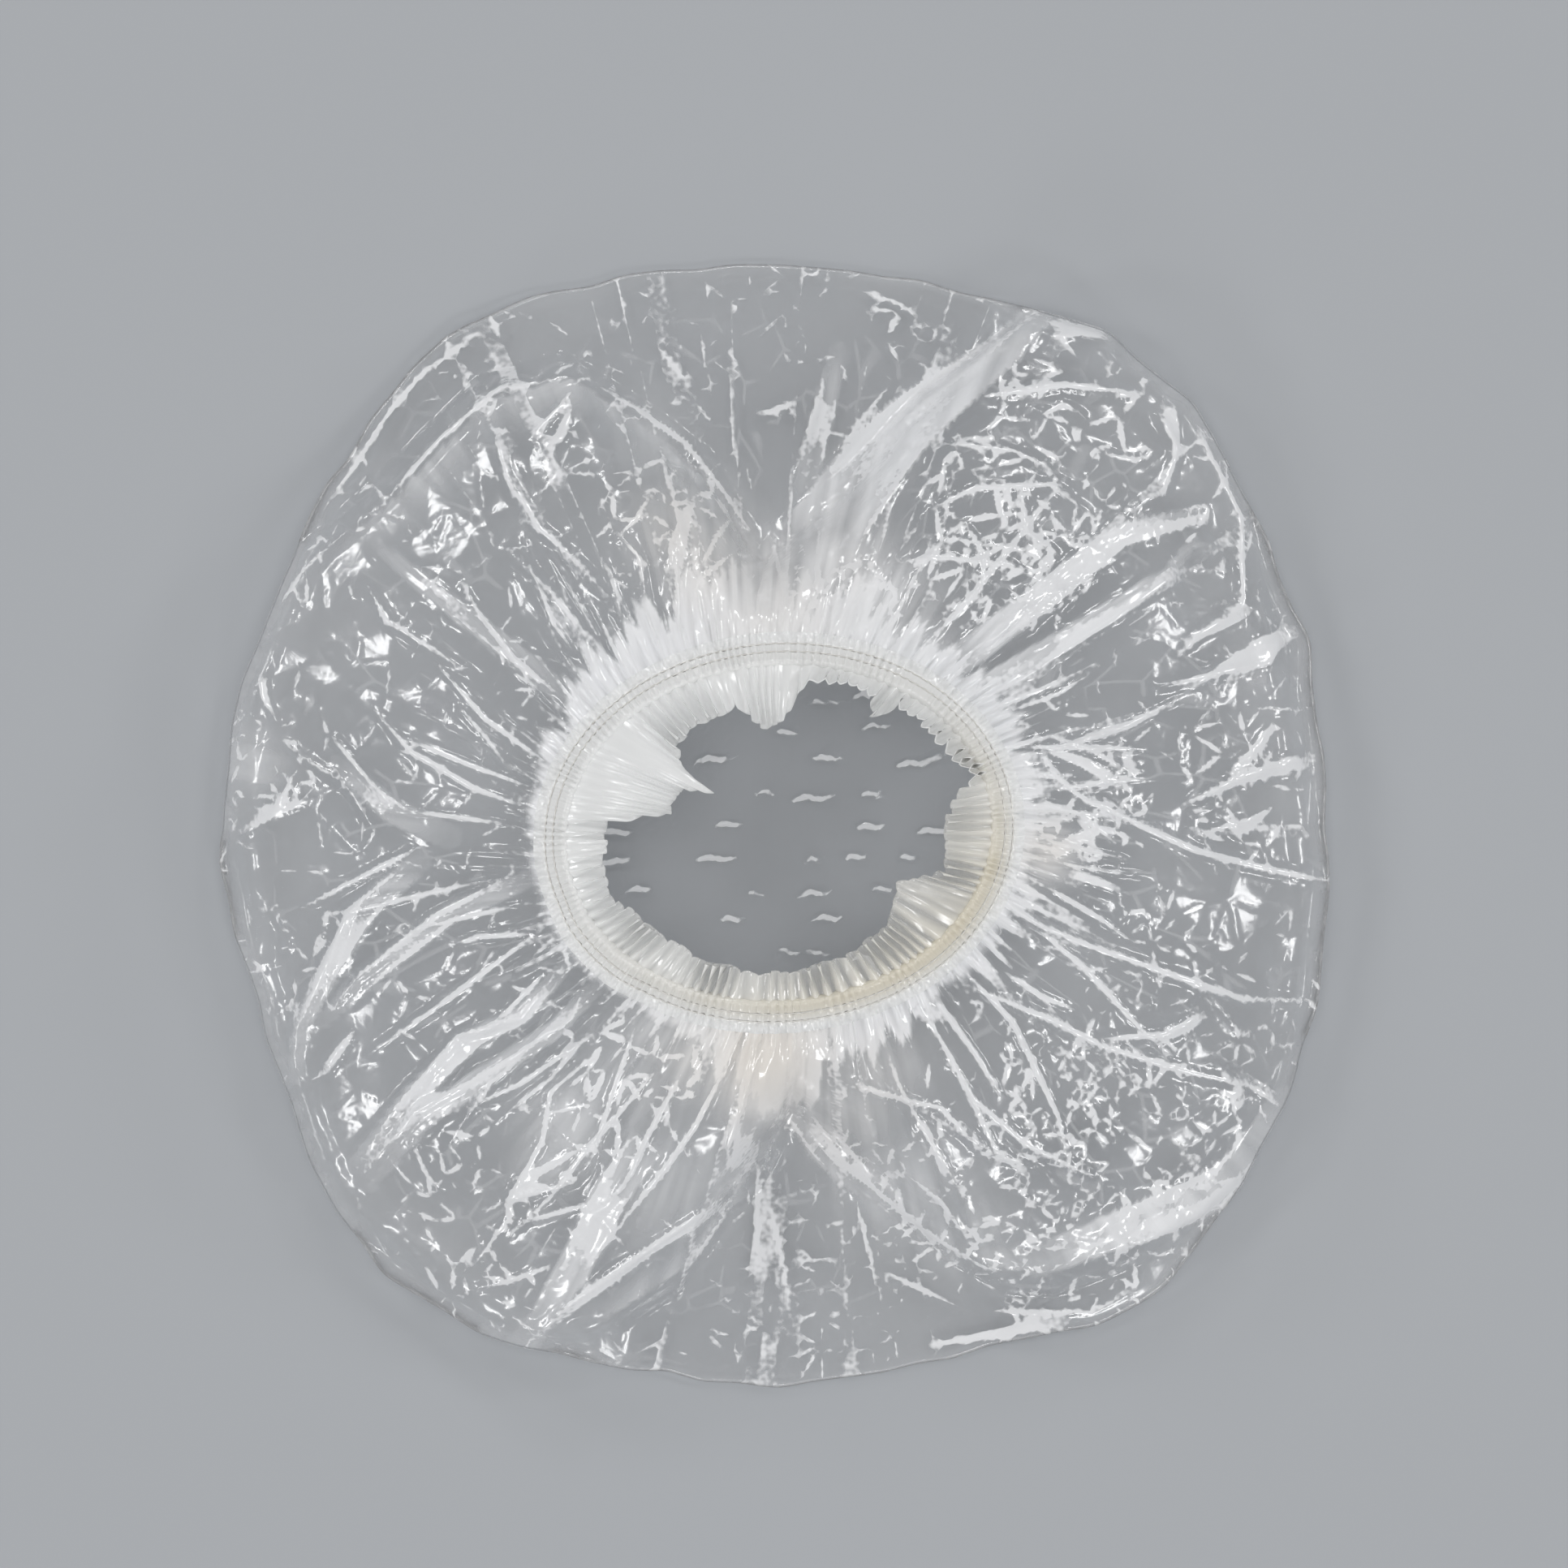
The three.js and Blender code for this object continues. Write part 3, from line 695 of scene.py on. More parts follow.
def addMarked(x, y, height, crest, mistAndEdgeHighlight, dice):  # the creases, wedges and doubled folds
    for ridge, halfWidth, whiteness, route in creases:
        addCrease(x, y, height, crest, fromPhoto(route), ridge, halfWidth, whiteness)
    # wedges: painted highlights
    for low, high, whiteness, route in wedges:
        route = fromPhoto(route)
        addCrease(x, y, height, crest, route, wedge["height"], wedge["halfWidth"], whiteness, (low, high))
    for ridge, flat, whiteness, route in strips:
        route = fromPhoto(route)
        spread = np.zeros_like(mistAndEdgeHighlight)
        addCrease(x, y, height, spread, route, strip["rise"] * ridge, strip["halfWidth"], 1.0, flat)
        np.maximum(mistAndEdgeHighlight, strip["milk"] * whiteness * smooth(spread, *strip["milkEdge"]), out=mistAndEdgeHighlight)
        lines = int(max(flat) / strip["pitch"]) + 2
        for across in np.linspace(-strip["side"], strip["side"], lines):
            aside = across + dice.uniform(-strip["wander"], strip["wander"])
            line = beside(route, flat, aside, dice.uniform(*strip["from"]), dice.uniform(*strip["to"]))
            ridge = dice.uniform(*strip["height"])
            white = whiteness * dice.uniform(*strip["white"])
            addCrease(x, y, height, crest, line, ridge, strip["lineWidth"], white)


def towards(heading):
    return np.array([np.cos(heading), np.sin(heading)])


def addRunners(x, y, height, crest, dice):
    columns = x.shape[1]
    for index in range(runners["count"]):
        column = int((index + dice.uniform(0, 1)) / runners["count"] * columns) % columns
        heading = np.arctan2(y[-1, column] - y[0, column], x[-1, column] - x[0, column])
        heading += dice.normal(0, runners["aim"])
        spot = np.array([x[0, column], y[0, column]]) + dice.uniform(*runners["start"]) * towards(heading)
        route = [spot]
        for _ in range(dice.integers(*runners["legs"], endpoint=True)):
            heading += dice.normal(0, runners["turn"])
            spot = spot + dice.uniform(*runners["leg"]) * towards(heading)
            route.append(spot)
        ridge, halfWidth, white = [dice.uniform(*runners[name]) for name in ("height", "halfWidth", "white")]
        addCrease(x, y, height, crest, np.array(route), ridge, halfWidth, white)


def layCrown(ray, foot, dice):  # flat on the table, with small ripples
    under = np.linspace(0, film["underMouth"], film["mouthRows"])
    beyond = np.linspace(0, 1, film["crownRows"] + 1)[1:, None]
    radius = np.concatenate([under[:, None] + 0 * foot, under[-1] + (foot - under[-1]) * beyond])
    x, y = radius * ray[:, 0], radius * ray[:, 1]
    z = np.full_like(x, film["lift"])
    crest = np.zeros_like(x)
    for row in range(ripples["rows"]):
        for column in range(ripples["columns"]):
            grid = zip(ripples["first"], ripples["pitch"], (column, row), ripples["scatter"])
            middle = [first + pitch * step + dice.uniform(-off, off) for first, pitch, step, off in grid]
            if dice.random() < ripples["leftOut"]:
                continue
            reach = dice.uniform(*ripples["reach"])
            rise = reach * dice.uniform(*ripples["rise"])
            up, down = ripples["bend"]
            route = np.array(middle) + [(-reach, -rise), (-reach / 3, up), (reach / 3, down), (reach, rise)]
            # painted highlight along each ripple
            white = dice.uniform(*ripples["white"])
            addCrease(x, y, z, crest, route, ripples["height"], ripples["halfWidth"], white)
    wave = 1 + np.sin(crownWave["across"] * x + crownWave["up"] * y)
    z += crownWave["height"] * wave * smooth(radius, 0, crownWave["grown"])
    return x, y, z, crest


def filmShape():
    dice = np.random.default_rng(film["seed"])
    columns = film["columns"]
    angle = np.arange(columns) / columns * turn
    # the outline lies below the level that the photograph's scale is true at
    deeper = (photo["height"] - film["lobeEdge"]) / photo["distance"]
    outline = softened(loopRadius(outlineSpots, angle), film["outlineSoft"]) * (1 + deeper)
    notch = jagged(angle, film["notches"], film["notchDepth"], dice)
    outline = outline + softened(notch, film["notchSoft"])
    shoulder = softened(loopRadius(shoulderSpots, angle), film["shoulderSoft"])
    shoulder = np.minimum(shoulder, outline - film["rollOver"] * film["shoulderIn"])
    gap = outline - shoulder
    valley = smooth(gap, film["rollOver"], outline.mean() - film["valleyReach"])
    onFlange = smooth(gap, film["rollOver"], film["flange"])
    shoulderZ = film["lobeShoulder"] + (film["valleyShoulder"] - film["lobeShoulder"]) * valley
    edgeZ = film["lobeEdge"] + (film["valleyEdge"] - film["lobeEdge"]) * onFlange
    roll = film["lobeRoll"] + (film["valleyRoll"] - film["lobeRoll"]) * onFlange

    # upper film, row 0 at the mouth and the last row at the outline
    wall = np.linspace(0, 1, film["wallRows"])[:, None]
    ray = np.stack([np.cos(angle), np.sin(angle)], axis=-1)
    start = mouthPoint(angle, film["edgeAcross"], film["edgeAbove"] + lapBulge(angle))
    rim = ray * outline[:, None]
    x = start[:, 0] + (rim[:, 0] - start[:, 0]) * wall
    y = start[:, 1] + (rim[:, 1] - start[:, 1]) * wall
    run = np.hypot(rim[:, 0] - start[:, 0], rim[:, 1] - start[:, 1])
    fromMouth = run * wall
    mouthRadius = np.hypot(start[:, 0], start[:, 1])
    atShoulder = (shoulder - mouthRadius) / (outline - mouthRadius)
    inwards = np.clip(wall / atShoulder, 0, 1)
    beyond = np.clip((wall - atShoulder) * run / np.minimum(film["rollOver"], gap), 0, 1)
    z = shoulderZ + (start[:, 2] - shoulderZ) * (1 - inwards ** film["puff"])
    z = np.where(wall > atShoulder, edgeZ + (shoulderZ - edgeZ) * (1 - beyond**2), z)

    # folds from the hem, creases, doubled folds and crumples
    arc = np.hypot(np.gradient(x, angle[1], axis=1), np.gradient(y, angle[1], axis=1))
    height, crest, mistAndEdgeHighlight, warm, crumpled = [np.zeros_like(z) for _ in range(5)]
    addGathers(angle, arc, fromMouth, height, crest, dice)
    addMarked(x, y, height, crest, mistAndEdgeHighlight, dice)
    crest = closed(crest)
    addRunners(x, y, height, crest, dice)
    addFacets(x, y, crumpled, crest, dice)
    height += crumpled * smooth(fromMouth, *facets["grown"])

    # milky gathers
    for middle, radius, whiteness, cream in bunches:
        spot = fromPhoto([middle])[0]
        near = np.exp(-((np.hypot(x - spot[0], y - spot[1]) / radius) ** 2))
        mistAndEdgeHighlight = np.maximum(mistAndEdgeHighlight, whiteness * near)
        warm = np.maximum(warm, cream * near)
    inside = (atShoulder - wall) * run
    hazeAndHighlight = np.exp(-((inside / rimHaze["width"]) ** 2)) * (inside > -1)
    hazeAndHighlight = hazeAndHighlight * smooth(gap, film["rollOver"], rimHaze["flange"])
    mistAndEdgeHighlight = np.maximum(mistAndEdgeHighlight, rimHaze["white"] * hazeAndHighlight)
    spikes = sum(size * softened(dice.uniform(-1, 1, columns), reach) for size, reach in milk["spikes"])
    milkReach = around(angle, hemMist) * (1 + milk["spikeShare"] * spikes)
    mistAndEdgeHighlight = np.maximum(mistAndEdgeHighlight, smooth(milkReach - fromMouth, *milk["edge"]))
    # painted edge highlight along the outline
    mistAndEdgeHighlight = np.maximum(mistAndEdgeHighlight, milk["outline"] * smooth(fromMouth, run - milk["outlineWidth"], run))

    # the gathers' milk is streaked, the crests are broken and the flat film is cloudy in patches
    rings = np.array([softened(dice.uniform(-1, 1, columns), 1) for _ in range(milk["streaks"])])
    level = np.clip(fromMouth / milk["streakLength"], 0, len(rings) - 1.01)
    ring = np.floor(level).astype(int)
    column = np.arange(columns) + 0 * ring
    streak = rings[ring, column] * (ring + 1 - level) + rings[ring + 1, column] * (level - ring)
    mistAndEdgeHighlight = np.clip(mistAndEdgeHighlight * (1 + milk["streakShare"] * streak), 0, 1)
    mistAndEdgeHighlight = mistAndEdgeHighlight + milk["cloud"] * (1 + patchy(x, y, milk["cloudPitch"], dice))
    crest += broken["share"] * patchy(x, y, broken["pitch"], dice)
    fine = web["least"]
    for strength, pitch in web["patches"]:
        fine = fine + strength * patchy(x, y, pitch, dice)
    for middle, radius, _, whiteness, _ in crumples:
        spot = fromPhoto([middle])[0]
        away = np.hypot(x - spot[0], y - spot[1]) / (radius * photo["pixel"])
        fine += web["crumpled"] * whiteness * np.exp(-(away**2))
    loss, *span = web["thinned"]
    fine = np.clip(fine, 0, web["most"]) * (1 - loss * smooth(wall, *span))
    inner, outer = web["squeeze"]
    webPlace = np.stack(np.broadcast_arrays(
        web["ring"] * ray[:, 0], web["ring"] * ray[:, 1], fromMouth * (inner + outer * wall),
    ), axis=-1) * mm

    # slow swells, and the quiet last millimetres at the outline
    swell = np.zeros_like(z)
    for size, count, skew, begin in swells["waves"]:
        swell += size * np.sin(count * angle + skew * fromMouth + begin)
    height += swell * smooth(fromMouth, *swells["grown"]) * (1 - swells["flange"] * onFlange)
    loss, *span = quiet["outline"]
    height *= 1 - loss * smooth(wall, *span)
    loss, *span = quiet["flange"]
    height *= 1 - loss * (smooth((wall - atShoulder) * run, *span) * onFlange)
    z = np.maximum(z + height, film["leastHeight"])

    # crown, then the roll up to the outline
    foot = outline - roll
    crownX, crownY, crownZ, crownCrest = layCrown(ray, foot, dice)
    bend = ((np.arange(film["foldRows"]) + 1) / (film["foldRows"] + 1))[:, None]
    foldRadius = foot + roll * bend
    foldZ = crownZ[-1] + (z[-1] - crownZ[-1]) * bend**2
    places = np.concatenate([
        np.stack([crownX, crownY, crownZ], axis=-1),
        np.stack([foldRadius * ray[:, 0], foldRadius * ray[:, 1], foldZ], axis=-1),
        np.stack([x, y, z], axis=-1)[::-1],
    ])
    marks = {
        "crest": np.concatenate([crownCrest, 0 * foldZ, crest[::-1]]),
        "fine": np.concatenate([0 * crownX, 0 * foldZ, fine[::-1]]),
        "web": np.concatenate([np.zeros(crownX.shape + (3,)), np.zeros(foldZ.shape + (3,)), webPlace[::-1]]),
        "mistAndEdgeHighlight": np.concatenate([0 * crownX, 0 * foldZ + milk["fold"], mistAndEdgeHighlight[::-1]]),
        "warm": np.concatenate([0 * crownX, 0 * foldZ, warm[::-1]]),
    }
    places[0, :] = places[0, 0]
    return places, marks


filmPlaces, filmMarks = filmShape()
filmEdge = filmPlaces[-1]
capFilm = ringSheet("cap_film", filmPlaces, filmMarks)
edgeLength = np.linalg.norm(filmEdge - np.roll(filmEdge, 1, axis=0), axis=1).sum()
print("cap film laid, gathered edge", round(float(edgeLength)), "mm")


# Materials
def srgb(text):
    parts = [int(text[i:i + 2], 16) / 255 for i in (1, 3, 5)]
    return [part / 12.92 if part <= 0.04045 else ((part + 0.055) / 1.055) ** 2.4 for part in parts] + [1]


def addNode(tree, kind, sockets=None, out=0, **settings):  # gives the output that is linked on
    made = tree.nodes.new(kind)
    for name, value in settings.items():
        setattr(made, name, value)
    for name, value in (sockets or {}).items():
        if isinstance(value, bpy.types.NodeSocket):
            tree.links.new(value, made.inputs[name])
        else:
            made.inputs[name].default_value = value
    return made.outputs[out] if made.outputs else made


def newMaterial(name):
    material = bpy.data.materials.new(name)
    material.use_nodes = True
    tree = material.node_tree
    tree.nodes.clear()
    return material, tree


def finishMaterial(tree, shader):
    addNode(tree, "ShaderNodeOutputMaterial", {"Surface": shader})


# Polyethylene film, blown and thin: clear and glossy, white along its sharp creases (stress whitening and
# painted highlight), milky where gathered
polyethylene = {
    "hazeAndHighlight": "#F8F9FB",
    "warm": "#F3EBE0",  # where the tape's cream shows through the gathers
    "gloss": "#FFFFFF",
    "facing": 0.078,  # share of light that the two faces turn back, seen square on
    "roughness": 0.16,
    "milk": 0.015,  # haze of the flat film, at its clearest
    "crinkle": 2.6,  # mm between the fine crinkles
    "crinkleHeight": 0.22,
    "net": 6,  # mm across a facet of the finest creases
    "netLine": 0.2,  # mm, half the width of such a crease
    "ragged": 1.3,  # mm, the broken edge of a white crease
    "raggedness": 0.2,
    # the crests' white, partly stress whitening and partly painted highlight
    "crestEdge": (0.53, 0.74),  # the mark where the film starts to turn white, and where it is all white
    "crestWhite": 0.95,
}
# what clear and gathered film share
filmOptics = {
    "crinkleDetail": 3,
    "crinkleRough": 0.5,
    "crinkleStrength": 0.5,
    "grazing": 5.0,  # power by which the mirroring grows towards the edge-on view
    "through": 0.15,  # share of the milk's light that passes it
}


def filmShader(tree, hazeAndHighlight, look, tint):
    place = addNode(tree, "ShaderNodeTexCoord", out="Object")
    scale = 1 / (look["crinkle"] * mm)
    detail, rough = filmOptics["crinkleDetail"], filmOptics["crinkleRough"]
    crinkle = addNode(
        tree, "ShaderNodeTexNoise", {"Vector": place, "Scale": scale, "Detail": detail, "Roughness": rough},
        noise_type="RIDGED_MULTIFRACTAL",
    )
    strength, depth = filmOptics["crinkleStrength"], look["crinkleHeight"] * mm
    bump = addNode(tree, "ShaderNodeBump", {"Height": crinkle, "Strength": strength, "Distance": depth})
    weight = addNode(tree, "ShaderNodeLayerWeight", {"Blend": 0.5, "Normal": bump}, out="Facing")
    steep = addNode(tree, "ShaderNodeMath", {0: weight, 1: filmOptics["grazing"]}, operation="POWER")
    square = look["facing"]
    mirror = addNode(tree, "ShaderNodeMath", {0: steep, 1: 1 - square, 2: square}, operation="MULTIPLY_ADD")
    clear = addNode(tree, "ShaderNodeBsdfTransparent")
    gloss = addNode(
        tree, "ShaderNodeBsdfAnisotropic",
        {"Color": srgb(look["gloss"]), "Roughness": look["roughness"], "Normal": bump},
    )
    milkFront = addNode(tree, "ShaderNodeBsdfDiffuse", {"Color": tint})
    milkBack = addNode(tree, "ShaderNodeBsdfTranslucent", {"Color": tint})
    milky = addNode(tree, "ShaderNodeMixShader", {0: filmOptics["through"], 1: milkFront, 2: milkBack})
    body = addNode(tree, "ShaderNodeMixShader", {0: hazeAndHighlight, 1: clear, 2: milky})
    return addNode(tree, "ShaderNodeMixShader", {0: mirror, 1: body, 2: gloss})


def clearFilmMaterial():
    look = polyethylene
    material, tree = newMaterial("clear_polyethylene_film")
    place = addNode(tree, "ShaderNodeTexCoord", out="Object")
    crest, mistAndEdgeHighlight, fine, warm = [
        addNode(tree, "ShaderNodeAttribute", out="Fac", attribute_name=mark)
        for mark in ("crest", "mistAndEdgeHighlight", "fine", "warm")
    ]
    folds = addNode(tree, "ShaderNodeAttribute", out="Vector", attribute_name="web")

    net = addNode(
        tree, "ShaderNodeTexVoronoi", {"Vector": folds, "Scale": 1 / (look["net"] * mm)},
        out="Distance", feature="DISTANCE_TO_EDGE",
    )
    thin = look["netLine"] / look["net"]
    lines = addNode(
        tree, "ShaderNodeMapRange",
        {"Value": net, "From Min": thin / 2, "From Max": thin * 2, "To Min": 1, "To Max": 0},
    )
    lines = addNode(tree, "ShaderNodeMath", {0: lines, 1: fine}, operation="MULTIPLY")
    scale = 1 / (look["ragged"] * mm)
    ragged = addNode(tree, "ShaderNodeTexNoise", {"Vector": place, "Scale": scale, "Detail": 0})
    sockets = {0: ragged, 1: look["raggedness"], 2: crest}
    edge = addNode(tree, "ShaderNodeMath", sockets, operation="MULTIPLY_ADD")
    low, high = look["crestEdge"]
    # painted highlights along the crests and the finest creases, taken with the milk of the gathers
    hazeAndHighlight = addNode(
        tree, "ShaderNodeMapRange",
        {"Value": edge, "From Min": low, "From Max": high, "To Min": 0, "To Max": look["crestWhite"]},
        interpolation_type="SMOOTHSTEP",
    )
    for other in (mistAndEdgeHighlight, lines):
        hazeAndHighlight = addNode(tree, "ShaderNodeMath", {0: hazeAndHighlight, 1: other}, operation="MAXIMUM")
    hazeAndHighlight = addNode(tree, "ShaderNodeMath", {0: hazeAndHighlight, 1: look["milk"]}, operation="ADD", use_clamp=True)
    tints = {0: warm, 6: srgb(look["hazeAndHighlight"]), 7: srgb(look["warm"])}
    tint = addNode(tree, "ShaderNodeMix", tints, out=2, data_type="RGBA")
    finishMaterial(tree, filmShader(tree, hazeAndHighlight, look, tint))
    return material


capFilm.data.materials.append(clearFilmMaterial())
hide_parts("crown_film")
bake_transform(capFilm, "crown", "mouth", start=(0, 0, 0), end=(0, 0, 0.0395))
print("film material set")


# Gathered film, the same polyethylene in tight folds: milky white, cream where the tape shows through, with
# painted shade and highlight over its puckers and ruffles
gatheredPolyethylene = {
    "hazeAndHighlight": "#F7F8F8",
    "cream": "#EDE5D0",
    "gloss": "#FFFFFF",
    "facing": 0.078,
    "roughness": 0.2,
    "crinkle": 1.6,
    "crinkleHeight": 0.1,
}


def gatheredFilmMaterial():
    look = gatheredPolyethylene
    material, tree = newMaterial("gathered_polyethylene_film")
    white = addNode(tree, "ShaderNodeAttribute", out="Fac", attribute_name="white")
    cream = addNode(tree, "ShaderNodeAttribute", out="Fac", attribute_name="cream")
    tints = {0: cream, 6: srgb(look["hazeAndHighlight"]), 7: srgb(look["cream"])}
    tint = addNode(tree, "ShaderNodeMix", tints, out=2, data_type="RGBA")
    finishMaterial(tree, filmShader(tree, white, look, tint))
    return material


gatheredFilm = gatheredFilmMaterial()
# How cream the mouth is, by degrees round it
creamSpots = [(0, 0.5), (40, 0.1), (140, 0.0), (200, 0.05), (240, 0.3), (270, 0.7), (315, 0.9), (345, 0.8)]


def dressMouth(piece, node, material):
    piece.data.materials.append(material)
    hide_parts(node)
    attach(piece, "mouth")


# Hem: the film turned over the tape, gathered outside the stitching and puckered between its rows
hem = {
    "columns": 1440,
    "outer": 4.7,
    "fold": 3.8,  # inwards, where the film turns under
    "foldRadius": 0.6,
    "above": 1.3,
    "stitchRows": (1.2, -1.2),
    "topRows": 20,
    "foldRows": 5,
    "underRows": 8,
    "puckers": 168,
    "finePuckers": 343,
    "fineDepth": 0.35,  # beside the puckers
    "wander": 2.0,
    "depth": (0.08, 0.2),  # of the puckers at a row of stitches, and what they gain
    "gained": (0.1, 1.2),  # mm from the row
    "joined": 1.6,  # across, from where it turns to the film's edge
    "creamEdge": 3.5,
    # the puckers' change is painted highlight and shade: pucker tops whiter, hollows less white
    "white": (0.95, 0.15, 0.05),  # at most, what cream takes off, and what the puckers change
    "fineWhite": 0.4,
    "whiteRange": (0.2, 0.98),
    "seed": 23,
}
ruffle = {"slow": range(2, 26), "uneven": 0.11, "sharp": 0.97}  # slow waves round, size, how pointed


def ruffleWave(angle, count, dice, wander):  # folds round the ring, none quite like its neighbour
    phase = np.zeros_like(angle)
    size = np.ones_like(angle)
    for step in ruffle["slow"]:
        phase += dice.normal(0, wander / math.sqrt(step)) * np.sin(step * angle + dice.uniform(0, turn))
        size += dice.normal(0, ruffle["uneven"]) * np.sin(step * angle + dice.uniform(0, turn))
    return size * np.arcsin(ruffle["sharp"] * np.sin(count * angle + phase)) / np.arcsin(ruffle["sharp"])


def layHem():
    dice = np.random.default_rng(hem["seed"])
    angle = np.arange(hem["columns"]) / hem["columns"] * turn
    half = hem["columns"] // film["columns"]
    edge = np.repeat(filmEdge, half, axis=0)
    after = np.roll(filmEdge, -1, axis=0).repeat(half, axis=0)
    edge = edge + (after - edge) * (np.arange(hem["columns"]) % half / half)[:, None]
    top = np.linspace(hem["outer"], -hem["fold"], hem["topRows"])
    bend = np.linspace(math.pi / 2, -math.pi / 2, hem["foldRows"] + 2)[1:-1]
    under = np.linspace(-hem["fold"], hem["outer"], hem["underRows"])
    across = np.concatenate([top, -hem["fold"] - hem["foldRadius"] * np.cos(bend), under])[:, None]
    above = np.concatenate([0 * top + hem["above"], hem["above"] * np.sin(bend), 0 * under - hem["above"]])
    above = above[:, None]
    pucker = ruffleWave(angle, hem["puckers"], dice, hem["wander"])
    fine = ruffleWave(angle, hem["finePuckers"], dice, hem["wander"])
    fromStitch = np.min([np.abs(across - row) for row in hem["stitchRows"]], axis=0)
    atStitch, gain = hem["depth"]
    ripple = (atStitch + gain * smooth(fromStitch, *hem["gained"])) * (pucker + hem["fineDepth"] * fine)
    side = np.where(above >= 0, 1, -1)
    bulge = lapBulge(angle) * np.clip(above / hem["above"], 0, 1)
    places = mouthPoint(angle, across, above + side * ripple + bulge)
    blend = smooth(across, hem["joined"], hem["outer"]) * (np.arange(len(across)) < hem["topRows"])[:, None]
    places += (edge - places[0]) * blend[..., None]
    cream = around(angle, creamSpots) * smooth(-across, -hem["creamEdge"], hem["creamEdge"])
    most, off, change = hem["white"]
    # painted highlight on the pucker tops and painted shade in their hollows
    white = most - off * cream + change * np.clip(pucker + hem["fineWhite"] * fine, -1, 1)
    return places, {"white": np.clip(white, *hem["whiteRange"]), "cream": cream}


hemCasing = ringSheet("hem_film", *layHem())
dressMouth(hemCasing, "hem_casing", gatheredFilm)
print("hem turned over")


# Frill: the doubled film inside the tape, ruffled to its free edge
frill = {
    "columns": 1440,
    "rows": 15,
    "ruffles": 104,
    "wander": 2.4,
    "rootAcross": -4.2,
    "gap": 0.35,  # between its two layers
    "rootWave": 0.35,
    "edgeWave": 1.5,
    "waveGrowth": 1.2,
    "calm": (0.65, 8, 18),  # what the ruffles lose where the frill reaches further in, and the mm of reach
    "sway": 0.8,  # how far the ruffles lean over sideways
    "lag": 0.25,  # of a ruffle, where they lean most
    "edgeSoft": 3,
    "slack": 1.02,
    "bow": 0.5,  # how far it leaves the hem along the hem
    "jags": 150,  # random steps of its free edge
    "jagDepth": 0.7,
    "leastReach": 0.8,  # seen from above
    "leastWidth": 7,  # where it reaches in less, it stands up
    "sag": 0.012,  # for each square mm that it reaches in past the part that carries itself
    "carried": 8,
    "seed": 31,
    # ruffleWhite paints highlight on the ruffles' tops and shade in their hollows
    "ruffleWhite": (1.06, 0.9),  # whiteness that a ruffle's top tends to, and how far it gets
    "edgeWhite": (0.93, 0.1),  # share of the width where the free edge starts, and how much whiter it is
    "whiteRange": (0.2, 0.96),
    "cream": (0.6, 0.5),  # at its root, and the share that is lost to the edge
    # its free edge, round from the right of the picture
    "edge": [
        (1209, 950), (1177, 934), (1106, 866), (1072, 889), (1074, 862), (1040, 842), (1010, 838), (982, 850),
        (976, 878), (946, 900), (908, 873), (866, 891), (836, 917), (842, 944), (880, 977), (843, 973),
        (830, 990), (826, 1002), (785, 1008), (752, 1014), (748, 1060), (752, 1098), (769, 1110), (815, 1148),
        (866, 1178), (925, 1195), (1000, 1190), (1051, 1169), (1093, 1136), (1100, 1085), (1165, 1072),
        (1160, 1040), (1165, 1005), (1175, 975),
    ],
    # how milky it is, by degrees round the mouth; the dip around 300 to 340 degrees is painted shade, the
    # frill made clearer where it lies in shadow
    "white": [
        (0, 0.75), (15, 0.8), (60, 0.88), (100, 0.94), (150, 0.95), (190, 0.93), (210, 0.8), (250, 0.64),
        (300, 0.58), (318, 0.5), (332, 0.42), (347, 0.72),
    ],
}


